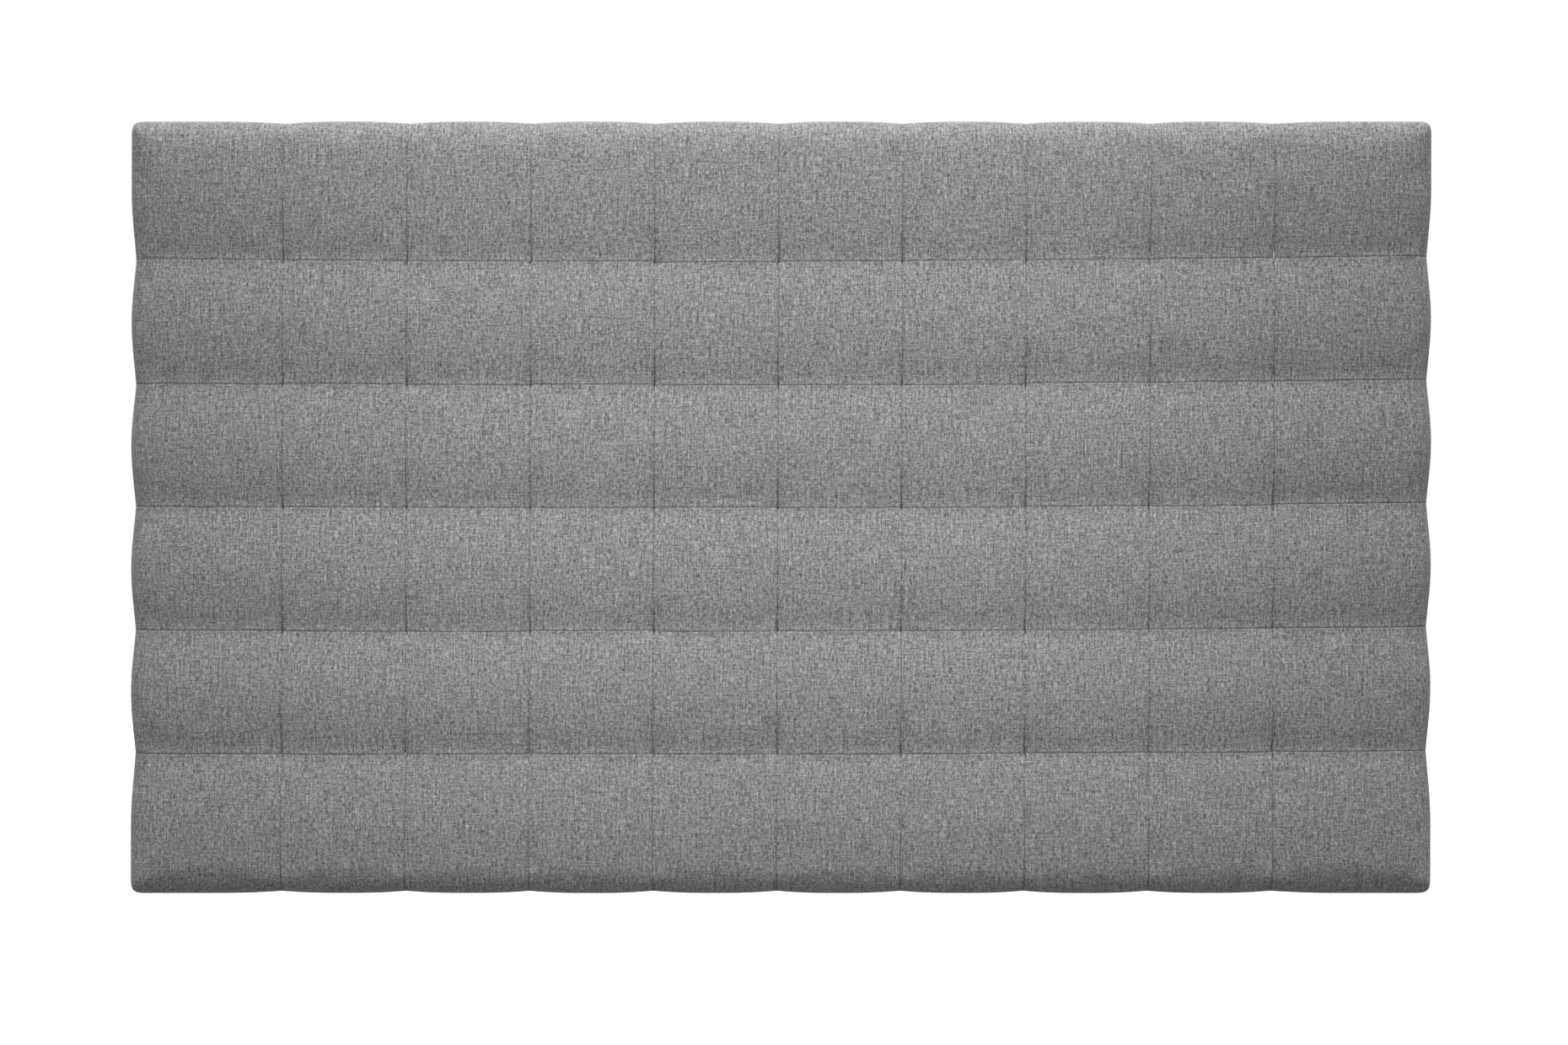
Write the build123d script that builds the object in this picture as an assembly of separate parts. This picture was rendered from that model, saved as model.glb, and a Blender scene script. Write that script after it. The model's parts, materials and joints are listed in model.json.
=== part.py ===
from build123d import *
import math
import os

# A wall-hung upholstered headboard for a 1600 mm bed: a timber frame with a plywood facing board and a foam
# pad, covered in heather cloth that is sewn in squares and tied down where its seams cross.
# Millimetres. The front faces -Y, +X is to the right seen from the front, and +Z is up.
# The origin is the centre of the four wall screw holes, on the wall, which is the plane y = 0.

# The whole panel
headboard_width = 1600.0
headboard_height = 950.0
top_above_screws = 220.0

# Sewn squares
columns = 10
rows = 6
end_column_width = 193.0
end_row_height = 173.5
column_shift = -4.0
row_shift = -1.0

# Cover cloth, its crown over the foam and how far it is drawn in at the seams
fabric_thickness = 1.2
crossing_rise = 3.0
row_seam_rise = 4.5
column_seam_rise = 11.0
cell_rise = 15.0
edge_drop = 4.5
side_draw_in = 5.5
top_draw_in = 3.0
edge_radius = 26.0
corner_radius = 12.0
hem_width = 35.0

# Wadding and foam
soft_gap = 0.3
wadding_least = 1.5
foam_thickness = 30.0

# Timber frame and facing board
board_thickness = 5.0
frame_depth = 32.0
rail_width = 60.0
stile_width = 60.0
corner_block_leg = 60.0
corner_block_thickness = 18.0
dowel_radius = 4.0
dowel_length = 50.0
dowel_spacing = 30.0
dowel_end_room = 1.0
drill_clearance = 0.1

# Screws that hold the facing board
board_screw_radius = 1.8
board_screw_head_radius = 3.6
board_screw_length = 28.0

# Tufting ties
twine_radius = 0.8
twine_hole_radius = 2.5
knot_radius = 2.6
washer_radius = 9.0
washer_thickness = 1.5
washer_bore_radius = 1.2

# Dust cover and staples
dust_cover_thickness = 0.6
dust_cover_inset = 14.0
dust_cover_fold_gap = 0.3
staple_crown = 10.0
staple_leg = 8.0
staple_width = 1.2
staple_wire = 0.6
staple_pitch = 50.0
cover_staple_inset = 29.0
dust_staple_inset = 20.0

# Hanging hardware
bracket_sheet = 2.0
bracket_play = 0.5
bracket_width = 40.0
bracket_bend = 0.4
bracket_corner = 4.0
bracket_tongue = 14.0
tongue_room = 2.0
wall_hole_radius = 2.75
wall_hole_spacing = 20.0
wall_hole_margin = 15.0
bracket_screw_radius = 2.0
bracket_screw_head_radius = 4.0
bracket_screw_head = 1.8
bracket_screw_length = 25.0
bracket_screw_spacing = 20.0
bracket_screw_margin = 13.0

# Wall bumpers
bumper_radius = 10.0
bumper_side_inset = 90.0
bumper_bore_radius = 2.2
bumper_recess_radius = 5.0
bumper_recess = 2.5
bumper_screw_radius = 1.75
bumper_screw_head_radius = 3.6
bumper_screw_head = 1.6
bumper_screw_length = 18.0

# One overrun past a face serves every cut
overrun = 5.0

# Holes that screws pass through
bracket_screw_hole = bracket_screw_radius + drill_clearance
bumper_screw_hole = bumper_screw_radius + drill_clearance

# Places in depth, counted from the wall towards the front
wall_gap = 2 * bracket_sheet + 3 * bracket_play
frame_back = -(wall_gap + dust_cover_thickness)
hem_back = frame_back + fabric_thickness
frame_front = frame_back - frame_depth
board_front = frame_front - board_thickness
foam_front = board_front - foam_thickness

# Places across and up the panel
left_edge = -headboard_width / 2
right_edge = headboard_width / 2
top_edge = top_above_screws
bottom_edge = top_edge - headboard_height
middle_height = (top_edge + bottom_edge) / 2
column_pitch = (headboard_width - 2 * end_column_width) / (columns - 2)
row_pitch = (headboard_height - 2 * end_row_height) / (rows - 2)
column_seams = [column_shift + (i - (columns - 2) / 2) * column_pitch for i in range(columns - 1)]
row_seams = [middle_height + row_shift + (i - (rows - 2) / 2) * row_pitch for i in range(rows - 1)]
column_lines = [left_edge, *column_seams, right_edge]
row_lines = [bottom_edge, *row_seams, top_edge]

# The timber core stands far enough inside the outline to leave wadding at the drawn-in seams
inner_offset = fabric_thickness + soft_gap
core_inset = side_draw_in + inner_offset + wadding_least
core_left = left_edge + core_inset
core_right = right_edge - core_inset
core_bottom = bottom_edge + core_inset
core_top = top_edge - core_inset
foam_edge_radius = min(edge_radius - (core_inset - side_draw_in), foam_thickness - wadding_least)

# The inner stiles stand midway between columns of ties, and the brackets are on the two outer ones of them
stile_reach = column_pitch * (columns / 2) / 2
stile_places = {
    "left_end_stile": core_left + stile_width / 2,
    "left_inner_stile": -stile_reach,
    "centre_stile": column_pitch / 2 + column_shift,
    "right_inner_stile": stile_reach,
    "right_end_stile": core_right - stile_width / 2,
}


def block(x_span, y_span, z_span):
    """A box between two values on each axis."""
    spans = (x_span, y_span, z_span)
    centre = [(low + high) / 2 for low, high in spans]
    sides = [high - low for low, high in spans]
    return Pos(*centre) * Box(*sides)


def rod(radius, x, z, y_back, y_front):
    """A round rod along Y."""
    return Pos(x, (y_back + y_front) / 2, z) * Rot(90, 0, 0) * Cylinder(radius, abs(y_back - y_front))


def group(shapes):
    """Several solids that share one node."""
    return Compound([solid for shape in shapes for solid in shape.solids()])


def front(rise):
    """The depth of a point that stands this far in front of the foam."""
    return foam_front - rise


def ring_of(corners, arcs):
    """A closed wire through the corners in turn. arcs gives each curved side's middle point by its number."""
    edges = []
    for i, start in enumerate(corners):
        end = corners[(i + 1) % len(corners)]
        if i in arcs:
            edges.append(Edge.make_three_point_arc(start, arcs[i], end))
        else:
            edges.append(Edge.make_line(start, end))
    return Wire(edges)


# The cover's form is worked out square by square. Its front is a loft from seam to seam across each column,
# through arcs that bulge from one row seam to the next. The end rows' arcs go on round the panel's edge.


def front_section(x, row, at_seam, inset, back):
    """The front's outline at one place across the panel, set in by inset from the cloth's outer face."""
    low, high = row_lines[row], row_lines[row + 1]
    foot = (crossing_rise if at_seam else row_seam_rise) - inset
    crown = (column_seam_rise if at_seam else cell_rise) - inset
    summit = Vector(x, front(crown), (low + high) / 2)
    if 0 < row < rows - 1:
        depths = [(back, low), (back, high), (front(foot), high), (front(foot), low)]
        return ring_of([Vector(x, y, z) for y, z in depths], {2: summit})
    outward = 1 if row else -1
    seam = low if row else high
    edge = (high if row else low) - outward * ((top_draw_in if at_seam else 0) + inset)
    radius = edge_radius - inset
    turn_depth = front(crown - edge_drop)
    turn_height = edge - outward * radius
    corners = [
        Vector(x, back, seam),
        Vector(x, back, edge),
        Vector(x, turn_depth + radius, edge),
        Vector(x, turn_depth, turn_height),
        Vector(x, front(foot), seam),
    ]
    shoulder = radius * math.sqrt(0.5)
    bend = Vector(x, turn_depth + radius - shoulder, turn_height + outward * shoulder)
    return ring_of(corners, {2: bend, 3: summit})


def side_section(z, side, seam, draw_in, turn_rise, inset, back):
    """An end column's outline at one height: the side, its rounded edge and a front that clears the crown."""
    edge = side * (headboard_width / 2 - draw_in - inset)
    radius = edge_radius - inset
    turn_depth = front(turn_rise - inset)
    turn_place = edge - side * radius
    past_seam = seam - side * overrun
    corners = [
        Vector(past_seam, back + overrun, z),
        Vector(edge, back + overrun, z),
        Vector(edge, turn_depth + radius, z),
        Vector(turn_place, turn_depth, z),
        Vector(past_seam, front(cell_rise), z),
    ]
    shoulder = radius * math.sqrt(0.5)
    bend = Vector(turn_place + side * shoulder, turn_depth + radius - shoulder, z)
    return ring_of(corners, {2: bend})


def side_form(row, side, seam, inset, back):
    """The side of the panel over one row, drawn in at the row seams and full between them."""
    low, high = row_lines[row], row_lines[row + 1]
    full_rise = cell_rise - edge_drop
    stations = [
        (low, side_draw_in, crossing_rise),
        ((low + high) / 2, 0, full_rise),
        (high, side_draw_in, crossing_rise),
    ]
    if row == 0:
        stations[0] = (low - overrun, top_draw_in, full_rise)
    if row == rows - 1:
        stations[2] = (high + overrun, top_draw_in, full_rise)
    return Solid.make_loft([side_section(z, side, seam, d, rise, inset, back) for z, d, rise in stations])


def corner_form(outward, side, seam, row_seam, inset, back):
    """A block whose one upright edge is the rounded corner of the panel's outline."""
    x_edge = side * (headboard_width / 2 - inset)
    z_edge = (top_edge if outward > 0 else bottom_edge) - outward * inset
    radius = corner_radius - inset
    y = back + overrun
    near_x = seam - side * overrun
    near_z = row_seam - outward * overrun
    centre_x = x_edge - side * radius
    centre_z = z_edge - outward * radius
    shoulder = radius * math.sqrt(0.5)
    corners = [
        Vector(near_x, y, near_z),
        Vector(x_edge, y, near_z),
        Vector(x_edge, y, centre_z),
        Vector(centre_x, y, z_edge),
        Vector(near_x, y, z_edge),
    ]
    bend = Vector(centre_x + side * shoulder, y, centre_z + outward * shoulder)
    outline = Face(ring_of(corners, {2: bend}))
    depth = y - front(cell_rise + overrun)
    return extrude(outline, amount=depth, dir=(0, -1, 0)).solid()


def square_form(column, row, inset, back):
    """One sewn square as a solid block, from the plane y = back to its crowned front, set in by inset."""
    low, high = column_lines[column], column_lines[column + 1]
    middle = (low + high) / 2
    stations = [(low, True), (middle, False), (high, True)]
    if column == 0:
        stations[0] = (low - overrun, False)
    if column == columns - 1:
        stations[2] = (high + overrun, False)
    form = Solid.make_loft([front_section(x, row, at_seam, inset, back) for x, at_seam in stations])
    if 0 < column < columns - 1:
        return form
    side = 1 if column else -1
    seam = low if column else high
    form = form & side_form(row, side, seam, inset, back)
    if 0 < row < rows - 1:
        return form
    outward = 1 if row else -1
    row_seam = row_lines[row] if row else row_lines[row + 1]
    return form & corner_form(outward, side, seam, row_seam, inset, back)


def at_border(column, row):
    return column in (0, columns - 1) or row in (0, rows - 1)


def cover_square(column, row):
    """The cloth of one square, with its part of the sides and the hem where it is at the panel's border."""
    if not at_border(column, row):
        hollow = square_form(column, row, fabric_thickness, foam_front)
        return square_form(column, row, 0, foam_front) - hollow
    cloth = square_form(column, row, 0, hem_back) - square_form(column, row, fabric_thickness, frame_back)
    opening = block(
        (left_edge + hem_width, right_edge - hem_width),
        (frame_back - fabric_thickness, hem_back + overrun),
        (bottom_edge + hem_width, top_edge - hem_width),
    )
    return cloth - opening.solid()


def cover_strip(row):
    """One strip of the cover: a row of squares sewn side by side, as one piece of cloth."""
    squares = [cover_square(column, row) for column in range(columns)]
    return squares[0].fuse(*squares[1:])


def foam_blank():
    """The foam pad before the ties pull through it, with its front edges rounded."""
    pad = block((core_left, core_right), (foam_front, board_front), (core_bottom, core_top))
    front_edges = pad.faces().sort_by(Axis.Y)[0].edges()
    return fillet(front_edges, foam_edge_radius)


def wadding_square(column, row, core):
    """The wadding behind one square of the cover, wrapped round the core at the panel's border."""
    if not at_border(column, row):
        return square_form(column, row, inner_offset, foam_front)
    return square_form(column, row, inner_offset, frame_back) - core


def crossings():
    """Where a column seam crosses a row seam."""
    return [(x, z) for z in row_seams for x in column_seams]


def dowels(radius, end_room):
    """The dowels at both ends of every stile, or the holes for them."""
    length = dowel_length + 2 * end_room
    depth = (frame_front + frame_back) / 2
    return [
        Pos(x + across, depth, z) * Cylinder(radius, length)
        for x in stile_places.values()
        for across in (-dowel_spacing / 2, dowel_spacing / 2)
        for z in (core_bottom + rail_width, core_top - rail_width)
    ]


def board_screw_places():
    """The facing board is screwed to the rails at each stile, and to the stiles at every other row seam."""
    rail_heights = [core_bottom + rail_width / 2, core_top - rail_width / 2]
    return [(x, z) for x in stile_places.values() for z in [*rail_heights, *row_seams[::2]]]


def board_screw(x, z, clearance):
    """A countersunk wood screw driven from the front, or the hole for it where clearance is more than 0."""
    head_depth = board_screw_head_radius - board_screw_radius
    shank = rod(board_screw_radius + clearance, x, z, board_front, board_front + board_screw_length)
    head = Pos(x, board_front + head_depth / 2, z) * Rot(90, 0, 0)
    head = head * Cone(board_screw_radius + clearance, board_screw_head_radius + clearance, head_depth)
    return shank + head


def bracket_screw_places():
    """Two screws one above the other in each hanging bracket."""
    lowest = hook_height + bracket_sheet + bracket_screw_margin
    return [(x, z) for x in (-stile_reach, stile_reach) for z in (lowest, lowest + bracket_screw_spacing)]


def bumper_places():
    """Both bumpers stand on the bottom rail, inside the cover's hem."""
    height = (bottom_edge + hem_width + core_bottom + rail_width) / 2
    return [(left_edge + bumper_side_inset, height), (right_edge - bumper_side_inset, height)]


def pan_screw(x, z, seat, radius, head_radius, head, length):
    """A pan head screw driven forward from the back, its head on the plane y = seat."""
    return rod(radius, x, z, seat, seat - length) + rod(head_radius, x, z, seat + head, seat)


def timber(x_span, z_span):
    return block(x_span, (frame_front, frame_back), z_span)


def frame_members():
    """The two rails and five stiles, bored for their dowels and screws."""
    members = {
        "top_rail": timber((core_left, core_right), (core_top - rail_width, core_top)),
        "bottom_rail": timber((core_left, core_right), (core_bottom, core_bottom + rail_width)),
    }
    for name, x in stile_places.items():
        members[name] = timber(
            (x - stile_width / 2, x + stile_width / 2), (core_bottom + rail_width, core_top - rail_width)
        )
    holes = dowels(dowel_radius + drill_clearance, dowel_end_room)
    holes += [board_screw(x, z, drill_clearance) for x, z in board_screw_places()]
    bracket_reach = -wall_gap - bracket_screw_length
    bumper_reach = -wall_gap - bumper_screw_length
    holes += [rod(bracket_screw_hole, x, z, 0, bracket_reach) for x, z in bracket_screw_places()]
    holes += [rod(bumper_screw_hole, x, z, 0, bumper_reach) for x, z in bumper_places()]
    bores = group(holes).solids()
    for name, member in members.items():
        members[name] = member - [bore for bore in bores if touches(member, bore)]
    return members


def touches(shape, other):
    """Whether two shapes' boxes meet, which saves cutting a piece by holes that are elsewhere."""
    first, second = shape.bounding_box(), other.bounding_box()
    lows = zip(first.min, first.max, second.min, second.max)
    return all(low < other_high and other_low < high for low, high, other_low, other_high in lows)


def corner_block(side, outward):
    """A glued triangular block in one corner of the frame, against the facing board."""
    x = side * (headboard_width / 2 - core_inset - stile_width)
    z = core_top - rail_width if outward > 0 else core_bottom + rail_width
    y = frame_front + corner_block_thickness
    corners = [
        Vector(x, y, z),
        Vector(x - side * corner_block_leg, y, z),
        Vector(x, y, z - outward * corner_block_leg),
    ]
    return extrude(Face(ring_of(corners, {})), amount=corner_block_thickness, dir=(0, -1, 0))


def facing_board():
    board = block((core_left, core_right), (board_front, frame_front), (core_bottom, core_top))
    holes = [board_screw(x, z, drill_clearance) for x, z in board_screw_places()]
    past_front, past_back = board_front - overrun, frame_front + overrun
    holes += [rod(twine_hole_radius, x, z, past_front, past_back) for x, z in crossings()]
    return board - holes


def tufting_twine(x, z):
    """A waxed twine from a seam crossing through the foam and board, with its knot behind the washer."""
    knot_depth = frame_front + washer_thickness
    twine = rod(twine_radius, x, z, front(crossing_rise - fabric_thickness), knot_depth + knot_radius)
    return twine + Pos(x, knot_depth + knot_radius, z) * Sphere(knot_radius)


def tufting_washer(x, z):
    back = frame_front + washer_thickness
    bore = rod(washer_bore_radius, x, z, frame_front - overrun, back + overrun)
    return rod(washer_radius, x, z, frame_front, back) - bore


def rectangle_inside(inset):
    """The panel's nominal outline, set in on all four sides."""
    return (left_edge + inset, right_edge - inset), (bottom_edge + inset, top_edge - inset)


def back_dust_cover():
    """A thin cloth tray: its rim lies on the hem and its floor on the frame's back."""
    fold = hem_width + dust_cover_fold_gap
    rim_x, rim_z = rectangle_inside(dust_cover_inset)
    fold_x, fold_z = rectangle_inside(fold)
    floor_x, floor_z = rectangle_inside(fold + dust_cover_thickness)
    rim_back = hem_back + dust_cover_thickness
    floor_back = frame_back + dust_cover_thickness
    sheet = block(rim_x, (hem_back, rim_back), rim_z) + block(fold_x, (frame_back, rim_back), fold_z)
    sheet = sheet - block(floor_x, (floor_back, rim_back + overrun), floor_z)
    past_front = frame_back - overrun
    holes = [rod(bracket_screw_hole, x, z, 0, past_front) for x, z in bracket_screw_places()]
    holes += [rod(bumper_screw_hole, x, z, 0, past_front) for x, z in bumper_places()]
    return sheet - holes


def staple(x, z, along_x, seat):
    """A staple whose crown lies on the plane y = seat, with its legs driven forward."""
    half = staple_crown / 2
    crown = block((-half, half), (seat, seat + staple_wire), (-staple_width / 2, staple_width / 2))
    legs = [
        block(span, (seat - staple_leg, seat), (-staple_width / 2, staple_width / 2))
        for span in ((-half, -half + staple_wire), (half - staple_wire, half))
    ]
    turned = (crown + legs) if along_x else Rot(0, 90, 0) * (crown + legs)
    return Pos(x, 0, z) * turned


def staple_row(inset, seat):
    """Staples at a steady pitch along all four sides, parallel to each edge."""
    (x_low, x_high), (z_low, z_high) = rectangle_inside(inset)
    run_x = x_high - x_low - staple_pitch
    run_z = z_high - z_low - staple_pitch
    count_x = max(2, round(run_x / staple_pitch))
    count_z = max(2, round(run_z / staple_pitch))
    centre_x, centre_z = (x_low + x_high) / 2, (z_low + z_high) / 2
    across = [centre_x + run_x * (i / (count_x - 1) - 0.5) for i in range(count_x)]
    upward = [centre_z + run_z * (i / (count_z - 1) - 0.5) for i in range(count_z)]
    flat = [staple(x, z, True, seat) for x in across for z in (z_low, z_high)]
    upright = [staple(x, z, False, seat) for z in upward for x in (x_low, x_high)]
    return flat + upright


# The brackets hook together: the wall bracket's tongue points up behind the panel. The hanging bracket's
# tongue points down behind that one, and its web carries the panel.
wall_plate_half = wall_hole_spacing / 2 + wall_hole_margin
hook_height = wall_plate_half + bracket_tongue + tongue_room
tongue_back = -(bracket_sheet + 2 * bracket_play)


def bent_sheet(x, profile, bends):
    """A strip of sheet with this outline in Y and Z, centred on x, with the named outline corners rounded."""
    start = x - bracket_width / 2
    face = Face(ring_of([Vector(start, y, z) for y, z in profile], {}))
    sheet = extrude(face, amount=bracket_width, dir=(1, 0, 0))
    ridges = [
        edge
        for edge in sheet.edges().filter_by(Axis.X)
        if any(math.isclose(edge.center().Y, y) and math.isclose(edge.center().Z, z) for y, z in bends)
    ]
    return fillet(ridges, bracket_bend)


def plate_corners(sheet, height):
    """The two outer corners of a plate, which lie at this height."""
    edges = sheet.edges().filter_by(Axis.Y)
    return fillet([edge for edge in edges if math.isclose(edge.center().Z, height)], bracket_corner)


def wall_bracket(x):
    web_top = wall_plate_half
    web_bottom = web_top - bracket_sheet
    tongue_front = tongue_back - bracket_sheet
    profile = [
        (0, -wall_plate_half),
        (0, web_top),
        (tongue_back, web_top),
        (tongue_back, hook_height),
        (tongue_front, hook_height),
        (tongue_front, web_bottom),
        (-bracket_sheet, web_bottom),
        (-bracket_sheet, -wall_plate_half),
    ]
    bends = [(0, web_top), (tongue_back, web_top), (tongue_front, web_bottom), (-bracket_sheet, web_bottom)]
    sheet = plate_corners(bent_sheet(x, profile, bends), -wall_plate_half)
    holes = [rod(wall_hole_radius, x, side * wall_hole_spacing / 2, overrun, -overrun) for side in (-1, 1)]
    return sheet - holes


def hanging_bracket(x):
    plate_top = hook_height + bracket_sheet + 2 * bracket_screw_margin + bracket_screw_spacing
    web_top = hook_height + bracket_sheet
    tip = hook_height - bracket_tongue
    back = -bracket_play
    front_of_tongue = back - bracket_sheet
    plate_back = -wall_gap + bracket_sheet
    profile = [
        (back, tip),
        (back, web_top),
        (plate_back, web_top),
        (plate_back, plate_top),
        (-wall_gap, plate_top),
        (-wall_gap, hook_height),
        (front_of_tongue, hook_height),
        (front_of_tongue, tip),
    ]
    bends = [(back, web_top), (plate_back, web_top), (-wall_gap, hook_height), (front_of_tongue, hook_height)]
    sheet = plate_corners(bent_sheet(x, profile, bends), plate_top)
    holes = [
        rod(bracket_screw_hole, place, z, 0, -wall_gap - overrun)
        for place, z in bracket_screw_places()
        if place == x
    ]
    return sheet - holes


def bumper(x, z):
    """A rubber foot between the frame's lower corner and the wall, with a recess for its screw's head."""
    foot = rod(bumper_radius, x, z, -wall_gap, 0)
    bore = rod(bumper_bore_radius, x, z, -wall_gap - overrun, overrun)
    return foot - [bore, rod(bumper_recess_radius, x, z, -bumper_recess, overrun)]


timber_core = block((core_left, core_right), (board_front, frame_back + overrun), (core_bottom, core_top))
core = (timber_core + foam_blank()).solid()
pieces = dict(frame_members())
pieces["facing_board"] = facing_board()
pieces["foam_pad"] = foam_blank()
for side, side_name in ((-1, "left"), (1, "right")):
    for outward, height_name in ((-1, "bottom"), (1, "top")):
        pieces[f"corner_block_{height_name}_{side_name}"] = corner_block(side, outward)
for row in range(rows):
    pieces[f"cover_strip_{row + 1}"] = cover_strip(row)
pieces["wadding_squares"] = group(
    [wadding_square(column, row, core) for row in range(rows) for column in range(columns)]
)
pieces["frame_dowels"] = group(dowels(dowel_radius, 0))
pieces["board_screws"] = group([board_screw(x, z, 0) for x, z in board_screw_places()])
pieces["tufting_twines"] = group([tufting_twine(x, z) for x, z in crossings()])
pieces["tufting_washers"] = group([tufting_washer(x, z) for x, z in crossings()])
pieces["back_dust_cover"] = back_dust_cover()
pieces["cover_staples"] = group(staple_row(cover_staple_inset, hem_back - staple_wire))
pieces["dust_cover_staples"] = group(staple_row(dust_staple_inset, hem_back + dust_cover_thickness))
for x, side_name in ((-stile_reach, "left"), (stile_reach, "right")):
    pieces[f"wall_bracket_{side_name}"] = wall_bracket(x)
    pieces[f"hanging_bracket_{side_name}"] = hanging_bracket(x)
pieces["bracket_screws"] = group(
    [
        pan_screw(
            x,
            z,
            -wall_gap + bracket_sheet,
            bracket_screw_radius,
            bracket_screw_head_radius,
            bracket_screw_head,
            bracket_screw_length,
        )
        for x, z in bracket_screw_places()
    ]
)
for (x, z), side_name in zip(bumper_places(), ("left", "right")):
    pieces[f"bumper_{side_name}"] = bumper(x, z)
pieces["bumper_screws"] = group(
    [
        pan_screw(
            x,
            z,
            -bumper_recess,
            bumper_screw_radius,
            bumper_screw_head_radius,
            bumper_screw_head,
            bumper_screw_length,
        )
        for x, z in bumper_places()
    ]
)

os.makedirs("parts", exist_ok=True)
for name, piece in pieces.items():
    export_step(piece, f"parts/{name}.step")
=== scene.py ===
# %% [markdown]
# A quilted headboard, dressed round its CAD frame
#
# The object is a padded panel for the head of a bed: a timber frame, a plywood board, foam and wadding,
# and a grey heather cloth that is sewn in squares.

# %% Load the frame
import json
import math

import bpy
import numpy as np
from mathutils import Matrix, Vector


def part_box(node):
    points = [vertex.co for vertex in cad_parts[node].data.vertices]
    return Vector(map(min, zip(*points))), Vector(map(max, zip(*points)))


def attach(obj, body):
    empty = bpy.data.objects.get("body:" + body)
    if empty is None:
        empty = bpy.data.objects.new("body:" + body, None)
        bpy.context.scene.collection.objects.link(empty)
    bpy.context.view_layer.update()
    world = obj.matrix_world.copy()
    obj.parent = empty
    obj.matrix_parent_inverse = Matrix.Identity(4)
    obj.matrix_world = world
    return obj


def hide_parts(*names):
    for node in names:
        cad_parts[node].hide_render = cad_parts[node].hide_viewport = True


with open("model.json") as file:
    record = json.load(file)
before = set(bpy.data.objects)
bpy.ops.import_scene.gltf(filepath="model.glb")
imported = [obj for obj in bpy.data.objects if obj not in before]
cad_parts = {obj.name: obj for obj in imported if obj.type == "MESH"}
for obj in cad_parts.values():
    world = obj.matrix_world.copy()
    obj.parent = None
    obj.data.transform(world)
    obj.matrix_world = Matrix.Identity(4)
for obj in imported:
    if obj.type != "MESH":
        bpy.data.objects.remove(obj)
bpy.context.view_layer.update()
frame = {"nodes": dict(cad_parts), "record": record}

panel_low = Vector(map(min, *(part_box(f"cover_strip_{row}")[0] for row in range(1, 7))))
panel_high = Vector(map(max, *(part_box(f"cover_strip_{row}")[1] for row in range(1, 7))))
panel_centre = (panel_low + panel_high) / 2
print("panel", [round(side, 4) for side in panel_high - panel_low], "centre", panel_centre)

# %% [markdown]
# The camera comes first, because every later choice is judged through it. The photograph looks straight
# at the front, so the camera stands level. A long lens from some metres away gives the flat, parallel
# look of a catalogue picture. Two numbers tie it to the photograph: the outline is 1541 pixels wide in a
# frame of 1860, and its middle is a little above and beside the middle of the frame.

# %% Camera
FRAME_PX = (1860, 1240)
OUTLINE_LEFT_PX, OUTLINE_RIGHT_PX = 156.0, 1697.0
OUTLINE_TOP_PX, OUTLINE_BOTTOM_PX = 144.5, 1059.0
CAMERA_DISTANCE = 4.6
OUTLINE_DEPTH = 0.036

metres_per_pixel = (panel_high.x - panel_low.x) / (OUTLINE_RIGHT_PX - OUTLINE_LEFT_PX)
outline_depth = panel_low.y + OUTLINE_DEPTH
camera_data = bpy.data.cameras.new("camera")
camera_data.sensor_width = 36.0
camera_data.lens = camera_data.sensor_width * CAMERA_DISTANCE / (FRAME_PX[0] * metres_per_pixel)
camera = bpy.data.objects.new("camera", camera_data)
aside = (FRAME_PX[0] - OUTLINE_LEFT_PX - OUTLINE_RIGHT_PX) / 2 * metres_per_pixel
below = (FRAME_PX[1] - OUTLINE_TOP_PX - OUTLINE_BOTTOM_PX) / 2 * metres_per_pixel
camera.location = (panel_centre.x + aside, outline_depth - CAMERA_DISTANCE, panel_centre.z - below)
camera.rotation_euler = (math.radians(90), 0, 0)
bpy.context.scene.collection.objects.link(camera)
bpy.context.scene.camera = camera
print("lens", round(camera_data.lens, 1), "mm, camera at", [round(c, 4) for c in camera.location])

# %% [markdown]
# Light decides how the quilting reads. In the photograph each square is brightest at its top and falls
# off evenly to the seam below, the same in every row, so the main light comes from high up and far away.
# A soft lamp in front of the middle leaves the two ends of the panel darker, and a dim even world fills
# the creases. A lamp high up behind the panel draws the bright line along its upper rim: it grazes over
# the top, so only cloth that already turns upwards catches it. Two weak lights behind show the back to
# someone who walks round; they don't reach the front. Cameras and mirrors see the world as white, while
# it lights the panel at its lower strength.

# %% World and lamps
WORLD_LIGHT = 0.335
HIGH_LIGHT, HIGH_LIGHT_ELEVATION = 2.26, 61.0
RIM_LIGHT, RIM_LIGHT_ELEVATION = 1.6, 75.0
REAR_LIGHT, REAR_LIGHT_ELEVATION, REAR_LIGHT_ASIDE = 0.9, 25.0, 22.0
SUN_DISTANCE, SUN_ANGLE = 4.0, 14.0
FRONT_POWER = 2.80
FRONT_PLACE = (-0.025, -1.9, 0.26)
FRONT_SIZE = (1.25, 1.9)
FRONT_SPREAD = 32.0


def new_nodes(tree):
    """Empties a node tree and returns short helpers to add a node and to link two sockets."""
    tree.nodes.clear()

    def add(kind, **values):
        node = tree.nodes.new(kind)
        for name, value in values.items():
            setattr(node, name, value)
        return node

    return add, tree.links.new


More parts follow.
